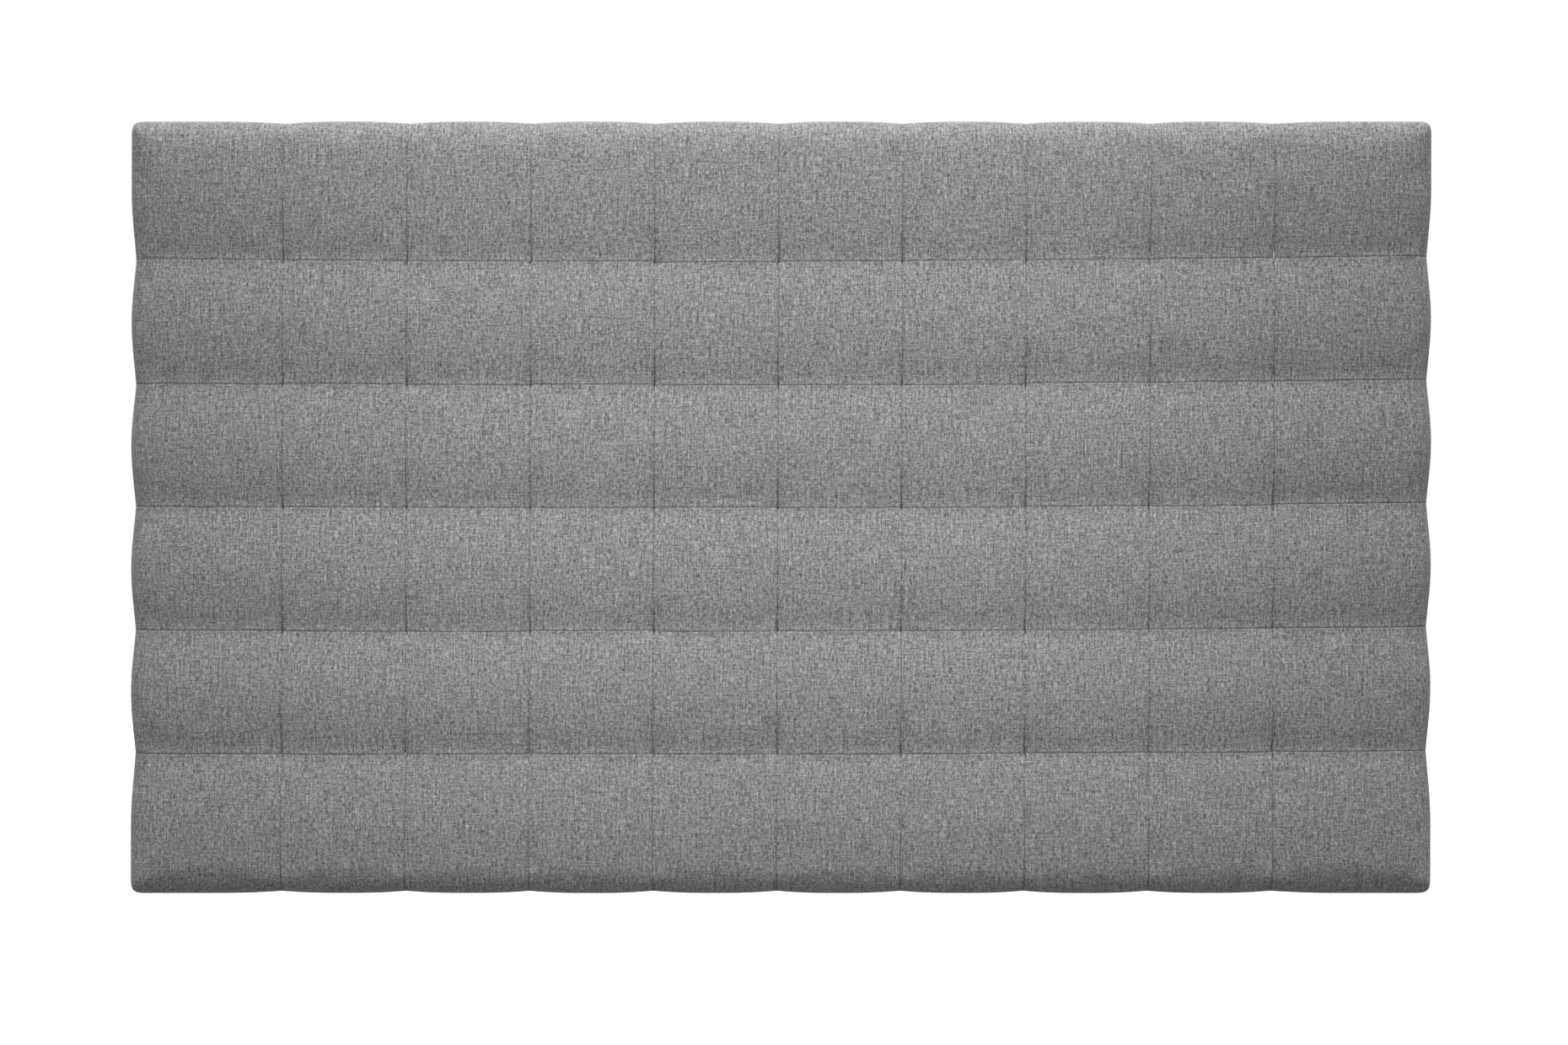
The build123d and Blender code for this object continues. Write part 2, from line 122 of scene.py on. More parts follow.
bpy.context.scene.view_settings.view_transform = "Standard"
world = bpy.data.worlds.new("studio")
bpy.context.scene.world = world
world.use_nodes = True
add, link = new_nodes(world.node_tree)
rays = add("ShaderNodeLightPath")
seen = add("ShaderNodeMath", operation="MAXIMUM")
link(rays.outputs["Is Camera Ray"], seen.inputs[0])
mirrored = add("ShaderNodeMath", operation="MAXIMUM")
link(rays.outputs["Is Glossy Ray"], mirrored.inputs[0])
link(rays.outputs["Is Transmission Ray"], mirrored.inputs[1])
link(mirrored.outputs[0], seen.inputs[1])
strength = add("ShaderNodeMapRange")
strength.inputs["To Min"].default_value = WORLD_LIGHT
strength.inputs["To Max"].default_value = 1.0
link(seen.outputs[0], strength.inputs["Value"])
background = add("ShaderNodeBackground")
background.inputs["Color"].default_value = (1, 1, 1, 1)
link(strength.outputs[0], background.inputs["Strength"])
link(background.outputs[0], add("ShaderNodeOutputWorld").inputs[0])


def lamp_object(name, kind, energy, place, aim):
    """A lamp of one kind at a place, turned to shine at a point."""
    data = bpy.data.lights.new(name, kind)
    data.energy = energy
    lamp = bpy.data.objects.new(name, data)
    lamp.location = place
    lamp.rotation_euler = (Vector(aim) - Vector(place)).to_track_quat("-Z", "Y").to_euler()
    bpy.context.scene.collection.objects.link(lamp)
    return data


def distant_light(name, energy, elevation, aside=0.0, behind=False):
    """A soft sun: so many degrees up from the level and aside from the middle, in front or behind."""
    up, around = math.radians(elevation), math.radians(aside)
    depth = math.cos(around) * math.cos(up) * (1 if behind else -1)
    way = Vector((math.sin(around) * math.cos(up), depth, math.sin(up)))
    lamp = lamp_object(name, "SUN", energy, panel_centre + SUN_DISTANCE * way, panel_centre)
    lamp.angle = math.radians(SUN_ANGLE)


distant_light("high_light", HIGH_LIGHT, HIGH_LIGHT_ELEVATION)
distant_light("rim_light", RIM_LIGHT, RIM_LIGHT_ELEVATION, behind=True)
distant_light("rear_light_left", REAR_LIGHT, REAR_LIGHT_ELEVATION, -REAR_LIGHT_ASIDE, behind=True)
distant_light("rear_light_right", REAR_LIGHT, REAR_LIGHT_ELEVATION, REAR_LIGHT_ASIDE, behind=True)
front_aim = (FRONT_PLACE[0], 0, FRONT_PLACE[2])
front_light = lamp_object("front_softbox", "AREA", FRONT_POWER, FRONT_PLACE, front_aim)
front_light.shape = "RECTANGLE"
front_light.size, front_light.size_y = FRONT_SIZE
front_light.spread = math.radians(FRONT_SPREAD)
print("high light", HIGH_LIGHT, "front softbox", FRONT_POWER, "W")

# %% [markdown]
# The floor is a stage, not a part of the object. The headboard hangs on a wall some way above it. The
# camera sees the floor pale, and the lamps bring it just over white, so it vanishes into the white
# background but still darkens where the panel shades it. Light that bounces off it finds it dark grey,
# because the photograph's lower edge is dark: little light comes from below there.

# %% Floor
FLOOR_BELOW = 0.32
FLOOR_REACH = 14.0
FLOOR_GREY = 0.8
FLOOR_BOUNCE = 0.18

floor_mesh = bpy.data.meshes.new("floor")
floor_height = panel_low.z - FLOOR_BELOW
corners = [(x, y, floor_height) for x, y in ((-1, -1), (1, -1), (1, 1), (-1, 1))]
floor_mesh.from_pydata([(x * FLOOR_REACH, y * FLOOR_REACH, z) for x, y, z in corners], [], [(0, 1, 2, 3)])
floor = bpy.data.objects.new("floor", floor_mesh)
bpy.context.scene.collection.objects.link(floor)
floor_material = bpy.data.materials.new("pale_floor")
floor_material.use_nodes = True
add, link = new_nodes(floor_material.node_tree)
matt = add("ShaderNodeBsdfDiffuse")
rays = add("ShaderNodeLightPath")
shade = add("ShaderNodeMapRange")
shade.inputs["To Min"].default_value = FLOOR_BOUNCE
shade.inputs["To Max"].default_value = FLOOR_GREY
link(rays.outputs["Is Camera Ray"], shade.inputs["Value"])
link(shade.outputs[0], matt.inputs["Color"])
link(matt.outputs[0], add("ShaderNodeOutputMaterial").inputs["Surface"])
floor_mesh.materials.append(floor_material)
print("floor", FLOOR_BELOW, "m below the panel")

# %% [markdown]
# The cover is sewn from six strips, and the squares come from that seam grid. The CAD pieces know where
# the seams lie: the twines come out at the crossings, and each strip ends at a row seam. Reading both
# keeps this cover in line with them. The photograph shows that hand work isn't quite straight, so the
# seams bow up towards both ends and lean a little to the left lower down. One function holds that drift,
# and every part of the cover uses it.

# %% Seam lines
COLUMNS, ROWS = 10, 6
KNOT_RADIUS = 0.0026
ROW_TILT = 0.0021
ROW_ARCH = (0.0019, 0.0052)
COLUMN_LEAN = 0.0036
END_LEAN, LEAN_REACH = 0.4, 0.15

twine_low, twine_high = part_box("tufting_twines")
column_seams = np.linspace(twine_low.x + KNOT_RADIUS, twine_high.x - KNOT_RADIUS, COLUMNS - 1)
row_seams = np.array([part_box(f"cover_strip_{row}")[1].z for row in range(1, ROWS)])
column_lines = np.array([panel_low.x, *column_seams, panel_high.x])
row_lines = np.array([panel_low.z, *row_seams, panel_high.z])
half_width = (panel_high.x - panel_low.x) / 2


def drifted(x, z):
    """Places in the seam grid, moved by the bow and lean of the hand-sewn seams."""
    across = (x - panel_centre.x) / half_width
    up = np.clip((z - row_seams[0]) / (row_seams[-1] - row_seams[0]), 0, 1)
    room_up = np.minimum(z - panel_low.z, panel_high.z - z)
    inside_rows = np.clip(room_up / (row_seams[0] - panel_low.z), 0, 1)
    from_end = np.clip((half_width - np.abs(x - panel_centre.x)) / LEAN_REACH, 0, 1)
    inside_columns = END_LEAN + (1 - END_LEAN) * from_end
    rise = (ROW_TILT * across + (ROW_ARCH[0] + (ROW_ARCH[1] - ROW_ARCH[0]) * up) * across**2) * inside_rows
    lean = COLUMN_LEAN * ((z - panel_centre.z) / (panel_high.z - panel_low.z)) * inside_columns
    return x + lean, z + rise


print("column seams", np.round(column_seams, 4), "row seams", np.round(row_seams, 4))

# %% [markdown]
# Cloth bends sharply only at a stitched line, so the mesh of the cover is a grid whose lines crowd beside
# the seams and spread out between them. Round the edge of the panel the lines follow the turn of the
# cloth in equal angles. This puts detail where the eye looks and keeps the simulation quick.

# %% Lines of the cover's grid
SEAM_STEPS = (0.0009, 0.0019, 0.0034, 0.006, 0.011)
MESH_STEP = 0.0075
EDGE_RADIUS = 0.026
EDGE_STEPS = 9


def between_seams(start, end, seam_before, seam_after):
    """Places from one line to the next, close together beside a seam and round the panel's edge."""
    angles = [math.pi / 2 * (1 - step / EDGE_STEPS) for step in range(EDGE_STEPS + 1)]
    turn = [EDGE_RADIUS * (1 - math.sin(angle)) for angle in angles]
    near_start = [0, *SEAM_STEPS] if seam_before else turn
    near_end = [0, *SEAM_STEPS] if seam_after else turn
    count = max(1, round((end - start - near_start[-1] - near_end[-1]) / MESH_STEP))
    even = np.linspace(start + near_start[-1], end - near_end[-1], count + 1)
    return [*(start + near for near in near_start[:-1]), *even, *(end - near for near in near_end[-2:0:-1])]


def grid_lines(lines):
    """All places across the seam lines, and which of them lies on each line."""
    places, marks = [], []
    for index in range(len(lines) - 1):
        marks.append(len(places))
        places += between_seams(lines[index], lines[index + 1], index > 0, index < len(lines) - 2)
    return np.array([*places, lines[-1]]), [*marks, len(places)]


grid_x, column_marks = grid_lines(column_lines)
grid_z, row_marks = grid_lines(row_lines)
print("cover grid", len(grid_x), "x", len(grid_z))

# %% [markdown]
# Each square is a shallow cushion: it stands highest in its middle, is held down along its seams, and
# lowest where two seams cross and the twine pulls. Row seams pull harder than column seams. The four
# heights below are measured out from the foam. The outer squares keep their height towards the edge of
# the panel and then fall a little.

# %% Height of the squares
CROSSING_RISE, ROW_SEAM_RISE, COLUMN_SEAM_RISE, SQUARE_RISE = 0.0030, 0.0068, 0.0121, 0.0145
SIDE_FALL, LOWER_FALL, UPPER_FALL = 0.010, 0.0045, 0.010
SOFT_SEAM = 0.42
foam_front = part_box("foam_pad")[0].y


def share_of_cell(places, lines):
    """How far each place is from the line before it to the line after it, from 0 to 1, and its cell."""
    cell = np.clip(np.searchsorted(lines, places, side="right") - 1, 0, len(lines) - 2)
    return (places - lines[cell]) / (lines[cell + 1] - lines[cell]), cell


def swell(places, lines):
    """0 on a seam and 1 midway, and in an end cell 1 from its middle to the edge of the panel."""
    share, cell = share_of_cell(places, lines)
    free_side = ((cell == 0) & (share < 0.5)) | ((cell == len(lines) - 2) & (share > 0.5))
    crown = (1 - SOFT_SEAM) * 4 * share * (1 - share) + SOFT_SEAM * np.sin(math.pi * share) ** 2
    return np.where(free_side, 1.0, crown), np.where(free_side, (2 * share - 1) ** 2, 0.0)


swell_x, fall_x = swell(grid_x, column_lines)
swell_z, fall_z = swell(grid_z, row_lines)
over_row, over_column = ROW_SEAM_RISE - CROSSING_RISE, COLUMN_SEAM_RISE - CROSSING_RISE
over_both = SQUARE_RISE - ROW_SEAM_RISE - over_column
rise = CROSSING_RISE + over_row * swell_x[None, :] + over_column * swell_z[:, None]
rise = rise + over_both * swell_x[None, :] * swell_z[:, None]
fall_down = LOWER_FALL * np.sin(math.pi / 2 * np.sqrt(fall_z)) ** 2
fall_up_down = np.where(grid_z < panel_centre.z, fall_down, UPPER_FALL * fall_z)
rise = rise - np.maximum(SIDE_FALL * fall_x[None, :] ** 2, fall_up_down[:, None])
print("rise", round(float(rise.min()), 4), "to", round(float(rise.max()), 4))

# %% [markdown]
# A stitched seam is a narrow valley with a low ridge on each side, where the folded edges lie under the
# cloth. Row seams are cut all along, but let go just beside a crossing, where the two rows' folds pass
# each other. Column seams are shallow at the top of a square and deepen towards the crossing below, which
# ends in the small dimple of the twine, made darker by painted shade. Every fold is a little off its
# neighbour, so each square gets its own small shift from a seeded random generator. Deep in a seam no
# light gets between the two folds, and that shade is painted: a second grid of numbers says how much the
# cloth's colour is darkened along each seam and at each twine tick.

# %% Creases, dimples and painted seam shade
ROW_CREASE, COLUMN_CREASE, TWINE_TICK, DIMPLE = 0.0003, 0.0012, 0.0014, 0.0050
DIMPLE_ASIDE, DIMPLE_ABOVE, DIMPLE_BELOW = 0.013, 0.027, 0.009
TWINE_PULLS = (0.55, 1.3)
CROWN_SPREAD = 0.0012
CREASE_WIDTH = 0.0007
RIDGE, RIDGE_AWAY, RIDGE_WIDTH = 0.0005, 0.0018, 0.0015
CROSSING_PAUSE, CROSSING_EASE = 0.0045, 0.85
COLUMN_TOP_SHARE, DEEPENING_CURVE = 0.15, 1.5
TICK_LENGTH, TICK_BELOW = 0.013, 0.001
FOLD_SHIFT, FOLD_REACH = 0.0009, 0.02
# Strengths of the painted shade in the row seams, the column seams and at the twine ticks.
ROW_SHADE, COLUMN_SHADE, TICK_SHADE = 0.24, 0.78, 1.0
ROW_SHADE_SHARES = (0.4, 1.4)
PUCKER, PUCKER_PITCH, PUCKER_REACH = 0.00035, 0.009, 0.020
STEADY_WIDTH = 0.004
hand = np.random.default_rng(24)


def from_nearest(places, seams):
    """Signed distance of each place from its nearest seam, and that seam's index."""
    nearest = np.abs(places[:, None] - seams[None, :]).argmin(1)
    return places - seams[nearest], nearest


def puckers():
    """Shallow gathers above and below each row seam, as smooth random waves along it."""
    knots = np.arange(panel_low.x, panel_high.x + PUCKER_PITCH, PUCKER_PITCH)
    waves = hand.normal(0, 1, (ROWS - 1, 2, len(knots)))
    along = np.array([[np.interp(grid_x, knots, wave) for wave in pair] for pair in waves])
    along = (along + np.roll(along, 1, axis=-1) + np.roll(along, -1, axis=-1)) / 3
    which = along[seam_z, (beside_z > 0).astype(int)]
    away = np.abs(beside_z)
    return PUCKER * which * (np.clip(away / STEADY_WIDTH, 0, 1) * np.exp(-away / PUCKER_REACH))[:, None]


beside_x, seam_x = from_nearest(grid_x, column_seams)
beside_z, seam_z = from_nearest(grid_z, row_seams)
share_z, cell_z = share_of_cell(grid_z, row_lines)
cell_x = share_of_cell(grid_x, column_lines)[1]
pause = 1 - CROSSING_EASE * np.exp(-((beside_x / CROSSING_PAUSE) ** 2))
in_row_seam = np.exp(-np.abs(beside_z) / CREASE_WIDTH)[:, None] * pause[None, :]
in_column_seam = np.exp(-np.abs(beside_x) / CREASE_WIDTH)[None, :] * np.ones_like(grid_z)[:, None]
deepening = (COLUMN_TOP_SHARE + (1 - COLUMN_TOP_SHARE) * (1 - share_z) ** DEEPENING_CURVE)[:, None]
tick_reach = (np.clip(1 - beside_z / TICK_LENGTH, 0, 1) * (beside_z > -TICK_BELOW))[:, None]
ridge = RIDGE * np.exp(-(((np.abs(beside_z) - RIDGE_AWAY) / RIDGE_WIDTH) ** 2))[:, None] * pause[None, :]
twine_pull = hand.uniform(*TWINE_PULLS, (ROWS - 1, COLUMNS - 1))[seam_z[:, None], seam_x[None, :]]
dimple_up_down = np.where(beside_z > 0, beside_z / DIMPLE_ABOVE, beside_z / DIMPLE_BELOW)
dimple_away = (beside_x[None, :] / DIMPLE_ASIDE) ** 2 + dimple_up_down[:, None] ** 2
dimple = DIMPLE * twine_pull * np.exp(-dimple_away)
sunk = ROW_CREASE * in_row_seam + in_column_seam * (COLUMN_CREASE * deepening + TWINE_TICK * tick_reach)
sunk = sunk + dimple - ridge + puckers()
# Painted shade: how far the cloth's colour is darkened in the row seams, the column seams and the ticks.
row_shade = ROW_SHADE * hand.uniform(*ROW_SHADE_SHARES, (ROWS - 1, COLUMNS))[seam_z[:, None], cell_x[None, :]]
tick_shade = TICK_SHADE * tick_reach * twine_pull**2
painted_shade = np.maximum(row_shade * in_row_seam, in_column_seam * (COLUMN_SHADE * deepening**0.5 + tick_shade))
crown = hand.uniform(-CROWN_SPREAD, CROWN_SPREAD, (ROWS, COLUMNS))[cell_z[:, None], cell_x[None, :]]
sunk = sunk - crown * swell_x[None, :] * swell_z[:, None]
fold_shift = hand.uniform(-FOLD_SHIFT, FOLD_SHIFT, (ROWS - 1, COLUMNS))
steadied = np.clip(np.abs(beside_x) / STEADY_WIDTH, 0, 1)
near_row = np.exp(-((beside_z / FOLD_REACH) ** 2))
shift_z = fold_shift[seam_z[:, None], cell_x[None, :]] * near_row[:, None] * steadied[None, :]
print("deepest crease", round(float(sunk.max()), 4))

# %% [markdown]
# Now the flat grid becomes a panel. Where a seam reaches the edge it pulls the outline in, sharply at the
# row seams on the sides and softly at the column seams on top. Beside the edge the cloth turns a quarter
# round with a 26 mm radius. At a corner of the panel both turns meet, and a superellipse blends them into
# one rounded corner.

# %% Front of the cover
SIDE_DRAW_IN, TOP_DRAW_IN = 0.0045, 0.0025
DRAW_IN_REACH = 0.09
CORNER_POWER = 5.0


def turned(places, low, high):
    """How far each place lies in the turn at the panel's edge, 0 to the radius, with its sign outwards."""
    return np.maximum(0, places - (high - EDGE_RADIUS)) - np.maximum(0, (low + EDGE_RADIUS) - places)


def from_middle(places, low, high):
    """Signed distance of each place from the middle of the panel."""
    return places - (low + high) / 2


def pull(places, low, high):
    """Share of the seams' pull at each place: all of it at the panel's edge, none further in."""
    room = np.minimum(places - low, high - places)
    share = np.clip(1 - (room - EDGE_RADIUS) / DRAW_IN_REACH, 0, 1) ** 2
    return share * np.sign(from_middle(places, low, high))


turn_x, turn_z = turned(grid_x, panel_low.x, panel_high.x), turned(grid_z, panel_low.z, panel_high.z)
size_x, size_z = np.meshgrid(np.abs(turn_x), np.abs(turn_z))
most = np.maximum(size_x, size_z)
blended = (size_x**CORNER_POWER + size_z**CORNER_POWER) ** (1 / CORNER_POWER)
keep = np.where(blended > 0, most / np.maximum(blended, 1e-9), 1.0)
front_x = grid_x[None, :] - turn_x[None, :] * (1 - keep)
front_z = grid_z[:, None] - turn_z[:, None] * (1 - keep)
side_pull = pull(grid_x, panel_low.x, panel_high.x)[None, :]
end_pull = pull(grid_z, panel_low.z, panel_high.z)[:, None]
front_x = front_x - SIDE_DRAW_IN * (1 - swell_z)[:, None] * side_pull
front_z = front_z - TOP_DRAW_IN * ((1 - swell_x) ** 2)[None, :] * end_pull
front_x, front_z = drifted(front_x, front_z + shift_z)
front_y = foam_front - rise + sunk + EDGE_RADIUS - np.sqrt(np.maximum(EDGE_RADIUS**2 - most**2, 0))
front = np.stack([front_x, front_y, front_z], axis=-1)
print("front from", front.min((0, 1)).round(4), "to", front.max((0, 1)).round(4))

# %% [markdown]
# From the turn the cloth runs back along the sides of the frame, folds over its back edge and is stapled
# down as a hem. The outer line of the grid is copied back in rings, and then inwards in rings for the
# hem. The unrolled place of every point on the cloth is kept as well, so that the weave later runs on
# round the edge as real cloth does.

# %% Sides and hem of the cover
WALL_RINGS = 8
HEM_WIDTH = 0.0308
HEM_STEPS = (0.012, 0.024)
HEM_CORNER = 0.09
BACK_FOLD, FOLD_START = 0.003, 0.3


def numbered(across, up):
    """The numbers of a grid's points, counted row by row."""
    return np.arange(across * up).reshape(up, across)


def loop_around(grid):
    """The outer line of a grid, once round."""
    return np.concatenate([grid[0, :-1], grid[:-1, -1], grid[-1, :0:-1], grid[:0:-1, 0]])


count_x, count_z = len(grid_x), len(grid_z)
border = loop_around(numbered(count_x, count_z))
side = np.repeat(range(4), (count_x - 1, count_z - 1, count_x - 1, count_z - 1))
outward = np.array([(0, -1), (1, 0), (0, 1), (-1, 0)], float)
rim = front.reshape(-1, 3)[border]
hem_back = panel_high.y


def rim_ring(depth, inward):
    """The rim moved back to a depth and inwards by a distance, with mitred corners."""
    low, high = rim.min(0), rim.max(0)
    ring = rim.copy()
    for axis in (0, 2):
        room = np.minimum(rim[:, axis] - low[axis], high[axis] - rim[:, axis])
        shrink = inward * np.clip(1 - room / HEM_CORNER, 0, 1)
        ring[:, axis] -= np.sign(from_middle(rim[:, axis], low[axis], high[axis])) * shrink
    ring[:, 1] = depth
    return ring


wall_run = hem_back - BACK_FOLD - rim[:, 1]
rings = [rim_ring(rim[:, 1] + wall_run * step / WALL_RINGS, 0) for step in range(1, WALL_RINGS + 1)]
rings.append(rim_ring(hem_back - FOLD_START * BACK_FOLD, FOLD_START * BACK_FOLD))
rings += [rim_ring(hem_back, inward) for inward in (BACK_FOLD, *HEM_STEPS, HEM_WIDTH)]
ring_moves = [np.linalg.norm(after - before, axis=1) for before, after in zip([rim, *rings[:-1]], rings)]
cover_points = np.concatenate([front.reshape(-1, 3), *rings])
print("cover points", len(cover_points))

# %% [markdown]
# Points alone aren't cloth yet. This cell joins them into faces, notes for every face which strip it
# belongs to, and lays a flat pattern over it: two numbers in metres for each corner, as if the cloth were
# still on the table. Each strip was cut from another place of the roll, so its pattern starts somewhere
# else.

# %% Faces and flat pattern of the cover
EDGE_ARC = EDGE_RADIUS * math.pi / 2
ROLL_PLACES = 3.0


def unrolled(places, turn):
    """Places with the turn at the panel's edge laid flat."""
    return places - turn + np.sign(turn) * EDGE_RADIUS * np.arcsin(np.minimum(np.abs(turn) / EDGE_RADIUS, 1))


def cell_of(index, marks):
    """The row or column of squares that a grid line's index lies in, counted from 0."""
    return np.clip(np.searchsorted(marks, index, side="right") - 1, 0, len(marks) - 2)


def grid_faces(across, up):
    """The faces of a grid of points, row by row."""
    first = numbered(across, up)[:-1, :-1].ravel()
    return np.stack([first, first + 1, first + 1 + across, first + across], axis=1)


def ring_lines(loop, points_before, count):
    """The point numbers of a grid's outer line and of the rings that follow the grid's points."""
    return [loop, *(points_before + len(loop) * ring + np.arange(len(loop)) for ring in range(count))]


def band_faces(lines):
    """The faces between each ring of points and the next, one set for each band."""
    return [np.stack([near, far, np.roll(far, -1), np.roll(near, -1)], axis=1)
            for near, far in zip(lines[:-1], lines[1:])]


flat_x, flat_z = unrolled(grid_x, turn_x), unrolled(grid_z, turn_z)
flat_front = np.stack(np.meshgrid(flat_x, flat_z), axis=-1).reshape(-1, 2)
front_faces = grid_faces(count_x, count_z)
front_rows = cell_of(front_faces[:, 0] // count_x, row_marks)
run_back = np.cumsum([np.zeros(len(border)), *ring_moves], axis=0)
ring_faces = band_faces(ring_lines(border, count_x * count_z, len(rings)))
lower_end = np.minimum(border, np.roll(border, -1)) // count_x
ring_rows = np.where(side == 0, 0, np.where(side == 2, ROWS - 1, cell_of(lower_end, row_marks)))
here, there = flat_front[border], flat_front[np.roll(border, -1)]
ring_pattern = []
for near, far in zip(run_back[:-1], run_back[1:]):
    ends = ((here, near), (here, far), (there, np.roll(far, -1)), (there, np.roll(near, -1)))
    ring_pattern.append(np.stack([place + outward[side] * reach[:, None] for place, reach in ends], axis=1))
cover_faces = np.concatenate([front_faces, *ring_faces])
cover_rows = np.concatenate([front_rows, *[ring_rows] * len(rings)])
cover_pattern = np.concatenate([flat_front[front_faces], *ring_pattern])
roll_start = hand.uniform(0, ROLL_PLACES, (ROWS, 2))
cover_pattern = cover_pattern + roll_start[cover_rows][:, None, :]
# The painted seam shade, copied from the front's outer line to every ring behind it.
cover_painted_shade = np.concatenate([painted_shade.ravel(), *[painted_shade.ravel()[border]] * len(rings)]).clip(0, 1)
print("cover faces", len(cover_faces), "in rows", np.bincount(cover_rows))

# %% [markdown]
# Soft filling pushes the cloth out between its seams, and a simulation shows how: the stitched lines, the
# sides and the hem are pinned, a light pressure fills the squares from behind, and gravity is off because
# the cloth lies on its filling. The cloth is cut a little too large, which gives the faint puckers beside
# the seams. The movement is limited, so that the simulated cover still matches the filling under it.

# %% Simulated swelling
SIM_FRAMES = 20
PRESSURE = 4.0
SPARE_CLOTH = -0.006
LARGEST_MOVE = 0.0022
FREE_FROM = 0.0022
SEAM_HOLD = 0.03
TURN_FREE = 0.6
CLOTH_QUALITY, CLOTH_MASS, CLOTH_STIFFNESS, CLOTH_BENDING = 5, 0.3, 25, 0.6


def mesh_object(name, points, faces, smooth=True):
    """A mesh object from plain lists of points and faces."""
    mesh = bpy.data.meshes.new(name)
    mesh.from_pydata([tuple(p) for p in np.asarray(points).tolist()], [], [tuple(f) for f in faces])
    mesh.update()
    mesh.polygons.foreach_set("use_smooth", [smooth] * len(mesh.polygons))
    obj = bpy.data.objects.new(name, mesh)
    bpy.context.scene.collection.objects.link(obj)
    return obj


def evaluated_points(obj):
    """The object's points with its modifiers applied."""
    shown = obj.evaluated_get(bpy.context.evaluated_depsgraph_get())
    found = np.empty(len(shown.data.vertices) * 3)
    shown.data.vertices.foreach_get("co", found)
    return found.reshape(-1, 3)


off_seams = np.minimum(np.abs(beside_x)[None, :], np.abs(beside_z)[:, None])


def pinned_share():
    """1 where the cloth is stitched or folded, 0 where it is free."""
    held = np.clip(1 - (off_seams - FREE_FROM) / FREE_FROM, 0, 1)
    in_turn = (most - TURN_FREE * EDGE_RADIUS) / ((1 - TURN_FREE) * EDGE_RADIUS)
    held = np.maximum(held, np.clip(in_turn, 0, 1))
    return np.concatenate([held.ravel(), np.ones(len(cover_points) - held.size)])


whole = mesh_object("whole_cover", cover_points, cover_faces.tolist())
group = whole.vertex_groups.new(name="stitched")
weights = pinned_share()
for level in np.unique(np.round(weights, 1)):
    group.add(np.flatnonzero(np.round(weights, 1) == level).tolist(), float(level), "REPLACE")
cloth = whole.modifiers.new("swelling", "CLOTH")
cloth.settings.quality = CLOTH_QUALITY
cloth.settings.mass = CLOTH_MASS
cloth.settings.tension_stiffness = CLOTH_STIFFNESS
cloth.settings.compression_stiffness = CLOTH_STIFFNESS
cloth.settings.bending_stiffness = CLOTH_BENDING
cloth.settings.shrink_min = SPARE_CLOTH
cloth.settings.use_pressure = True
cloth.settings.uniform_pressure_force = PRESSURE
cloth.settings.effector_weights.gravity = 0
cloth.settings.vertex_group_mass = "stitched"
cloth.collision_settings.use_self_collision = False
cloth.collision_settings.use_collision = False
cloth.point_cache.frame_start, cloth.point_cache.frame_end = 1, SIM_FRAMES
for frame_number in range(1, SIM_FRAMES + 1):
    bpy.context.scene.frame_set(frame_number)
moved = evaluated_points(whole) - cover_points
length = np.linalg.norm(moved, axis=1, keepdims=True)
moved *= np.minimum(1, LARGEST_MOVE / np.maximum(length, 1e-9))
away = np.clip((off_seams - FREE_FROM) / SEAM_HOLD, 0, 1)
moved[: away.size] *= (away**2 * (3 - 2 * away)).reshape(-1, 1)
cover_points = cover_points + moved
bpy.context.scene.frame_set(1)
bpy.data.objects.remove(whole)
print("cloth moved up to", round(float(length.max()) * 1000, 2), "mm before the limit")

# %% [markdown]
# The cover is now cut back into its six strips, so that each is its own piece, as on the real headboard
# where they are sewn together. A thin solid form gives the cloth its 1.2 mm, and the strip stands in for
# the plain CAD one.

# %% Six cover strips
CLOTH_THICKNESS = 0.0012


def strip_piece(row):
    """One strip of the cover as its own mesh, with its flat pattern and its painted seam shade."""
    faces = np.flatnonzero(cover_rows == row)
    used, local = np.unique(cover_faces[faces], return_inverse=True)
    strip = mesh_object(f"cloth_strip_{row + 1}", cover_points[used], local.reshape(-1, 4).tolist())
    pattern = strip.data.uv_layers.new(name="flat_pattern")
    pattern.uv.foreach_set("vector", cover_pattern[faces].astype(np.float32).ravel())
    # Painted shade: how much the cloth's colour is darkened in the seams, kept on each point.
    shade = strip.data.attributes.new("painted_seam_shade", "FLOAT", "POINT")
    shade.data.foreach_set("value", cover_painted_shade[used].astype(np.float32))
    body = strip.modifiers.new("cloth thickness", "SOLIDIFY")
    body.thickness = CLOTH_THICKNESS
    body.offset = -1
    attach(strip, "headboard")
    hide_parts(f"cover_strip_{row + 1}")
    return strip


strips = [strip_piece(row) for row in range(ROWS)]
strip_reach = 2 * (EDGE_ARC - EDGE_RADIUS + float(run_back[-1].mean()))
for row, strip in enumerate(strips):
    height = row_lines[row + 1] - row_lines[row]
    length = height + (strip_reach / 2 if row in (0, ROWS - 1) else 0)

# %% [markdown]
# Behind the cloth every square has its own pad of white wadding, which gives it its soft crown. A pad
# lies between two surfaces: outside it follows the cloth a little further in, and inside it lies on the
# foam. Both come from the grid of the cover, thinned out, because nobody sees single threads of wadding.
# Under a dimple the pad gives way more, as wadding does where a twine pulls. The outer pads run on round
# the edge.

# %% Surfaces of the filling
CLOTH_ROOM = 0.0022
DENT_ROOM = 0.35
LEAST_PAD = 0.0005
GRID_STRIDE = 3
WAD_END = -0.0105
FOAM_RADIUS = 0.022
foam_low, foam_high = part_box("foam_pad")


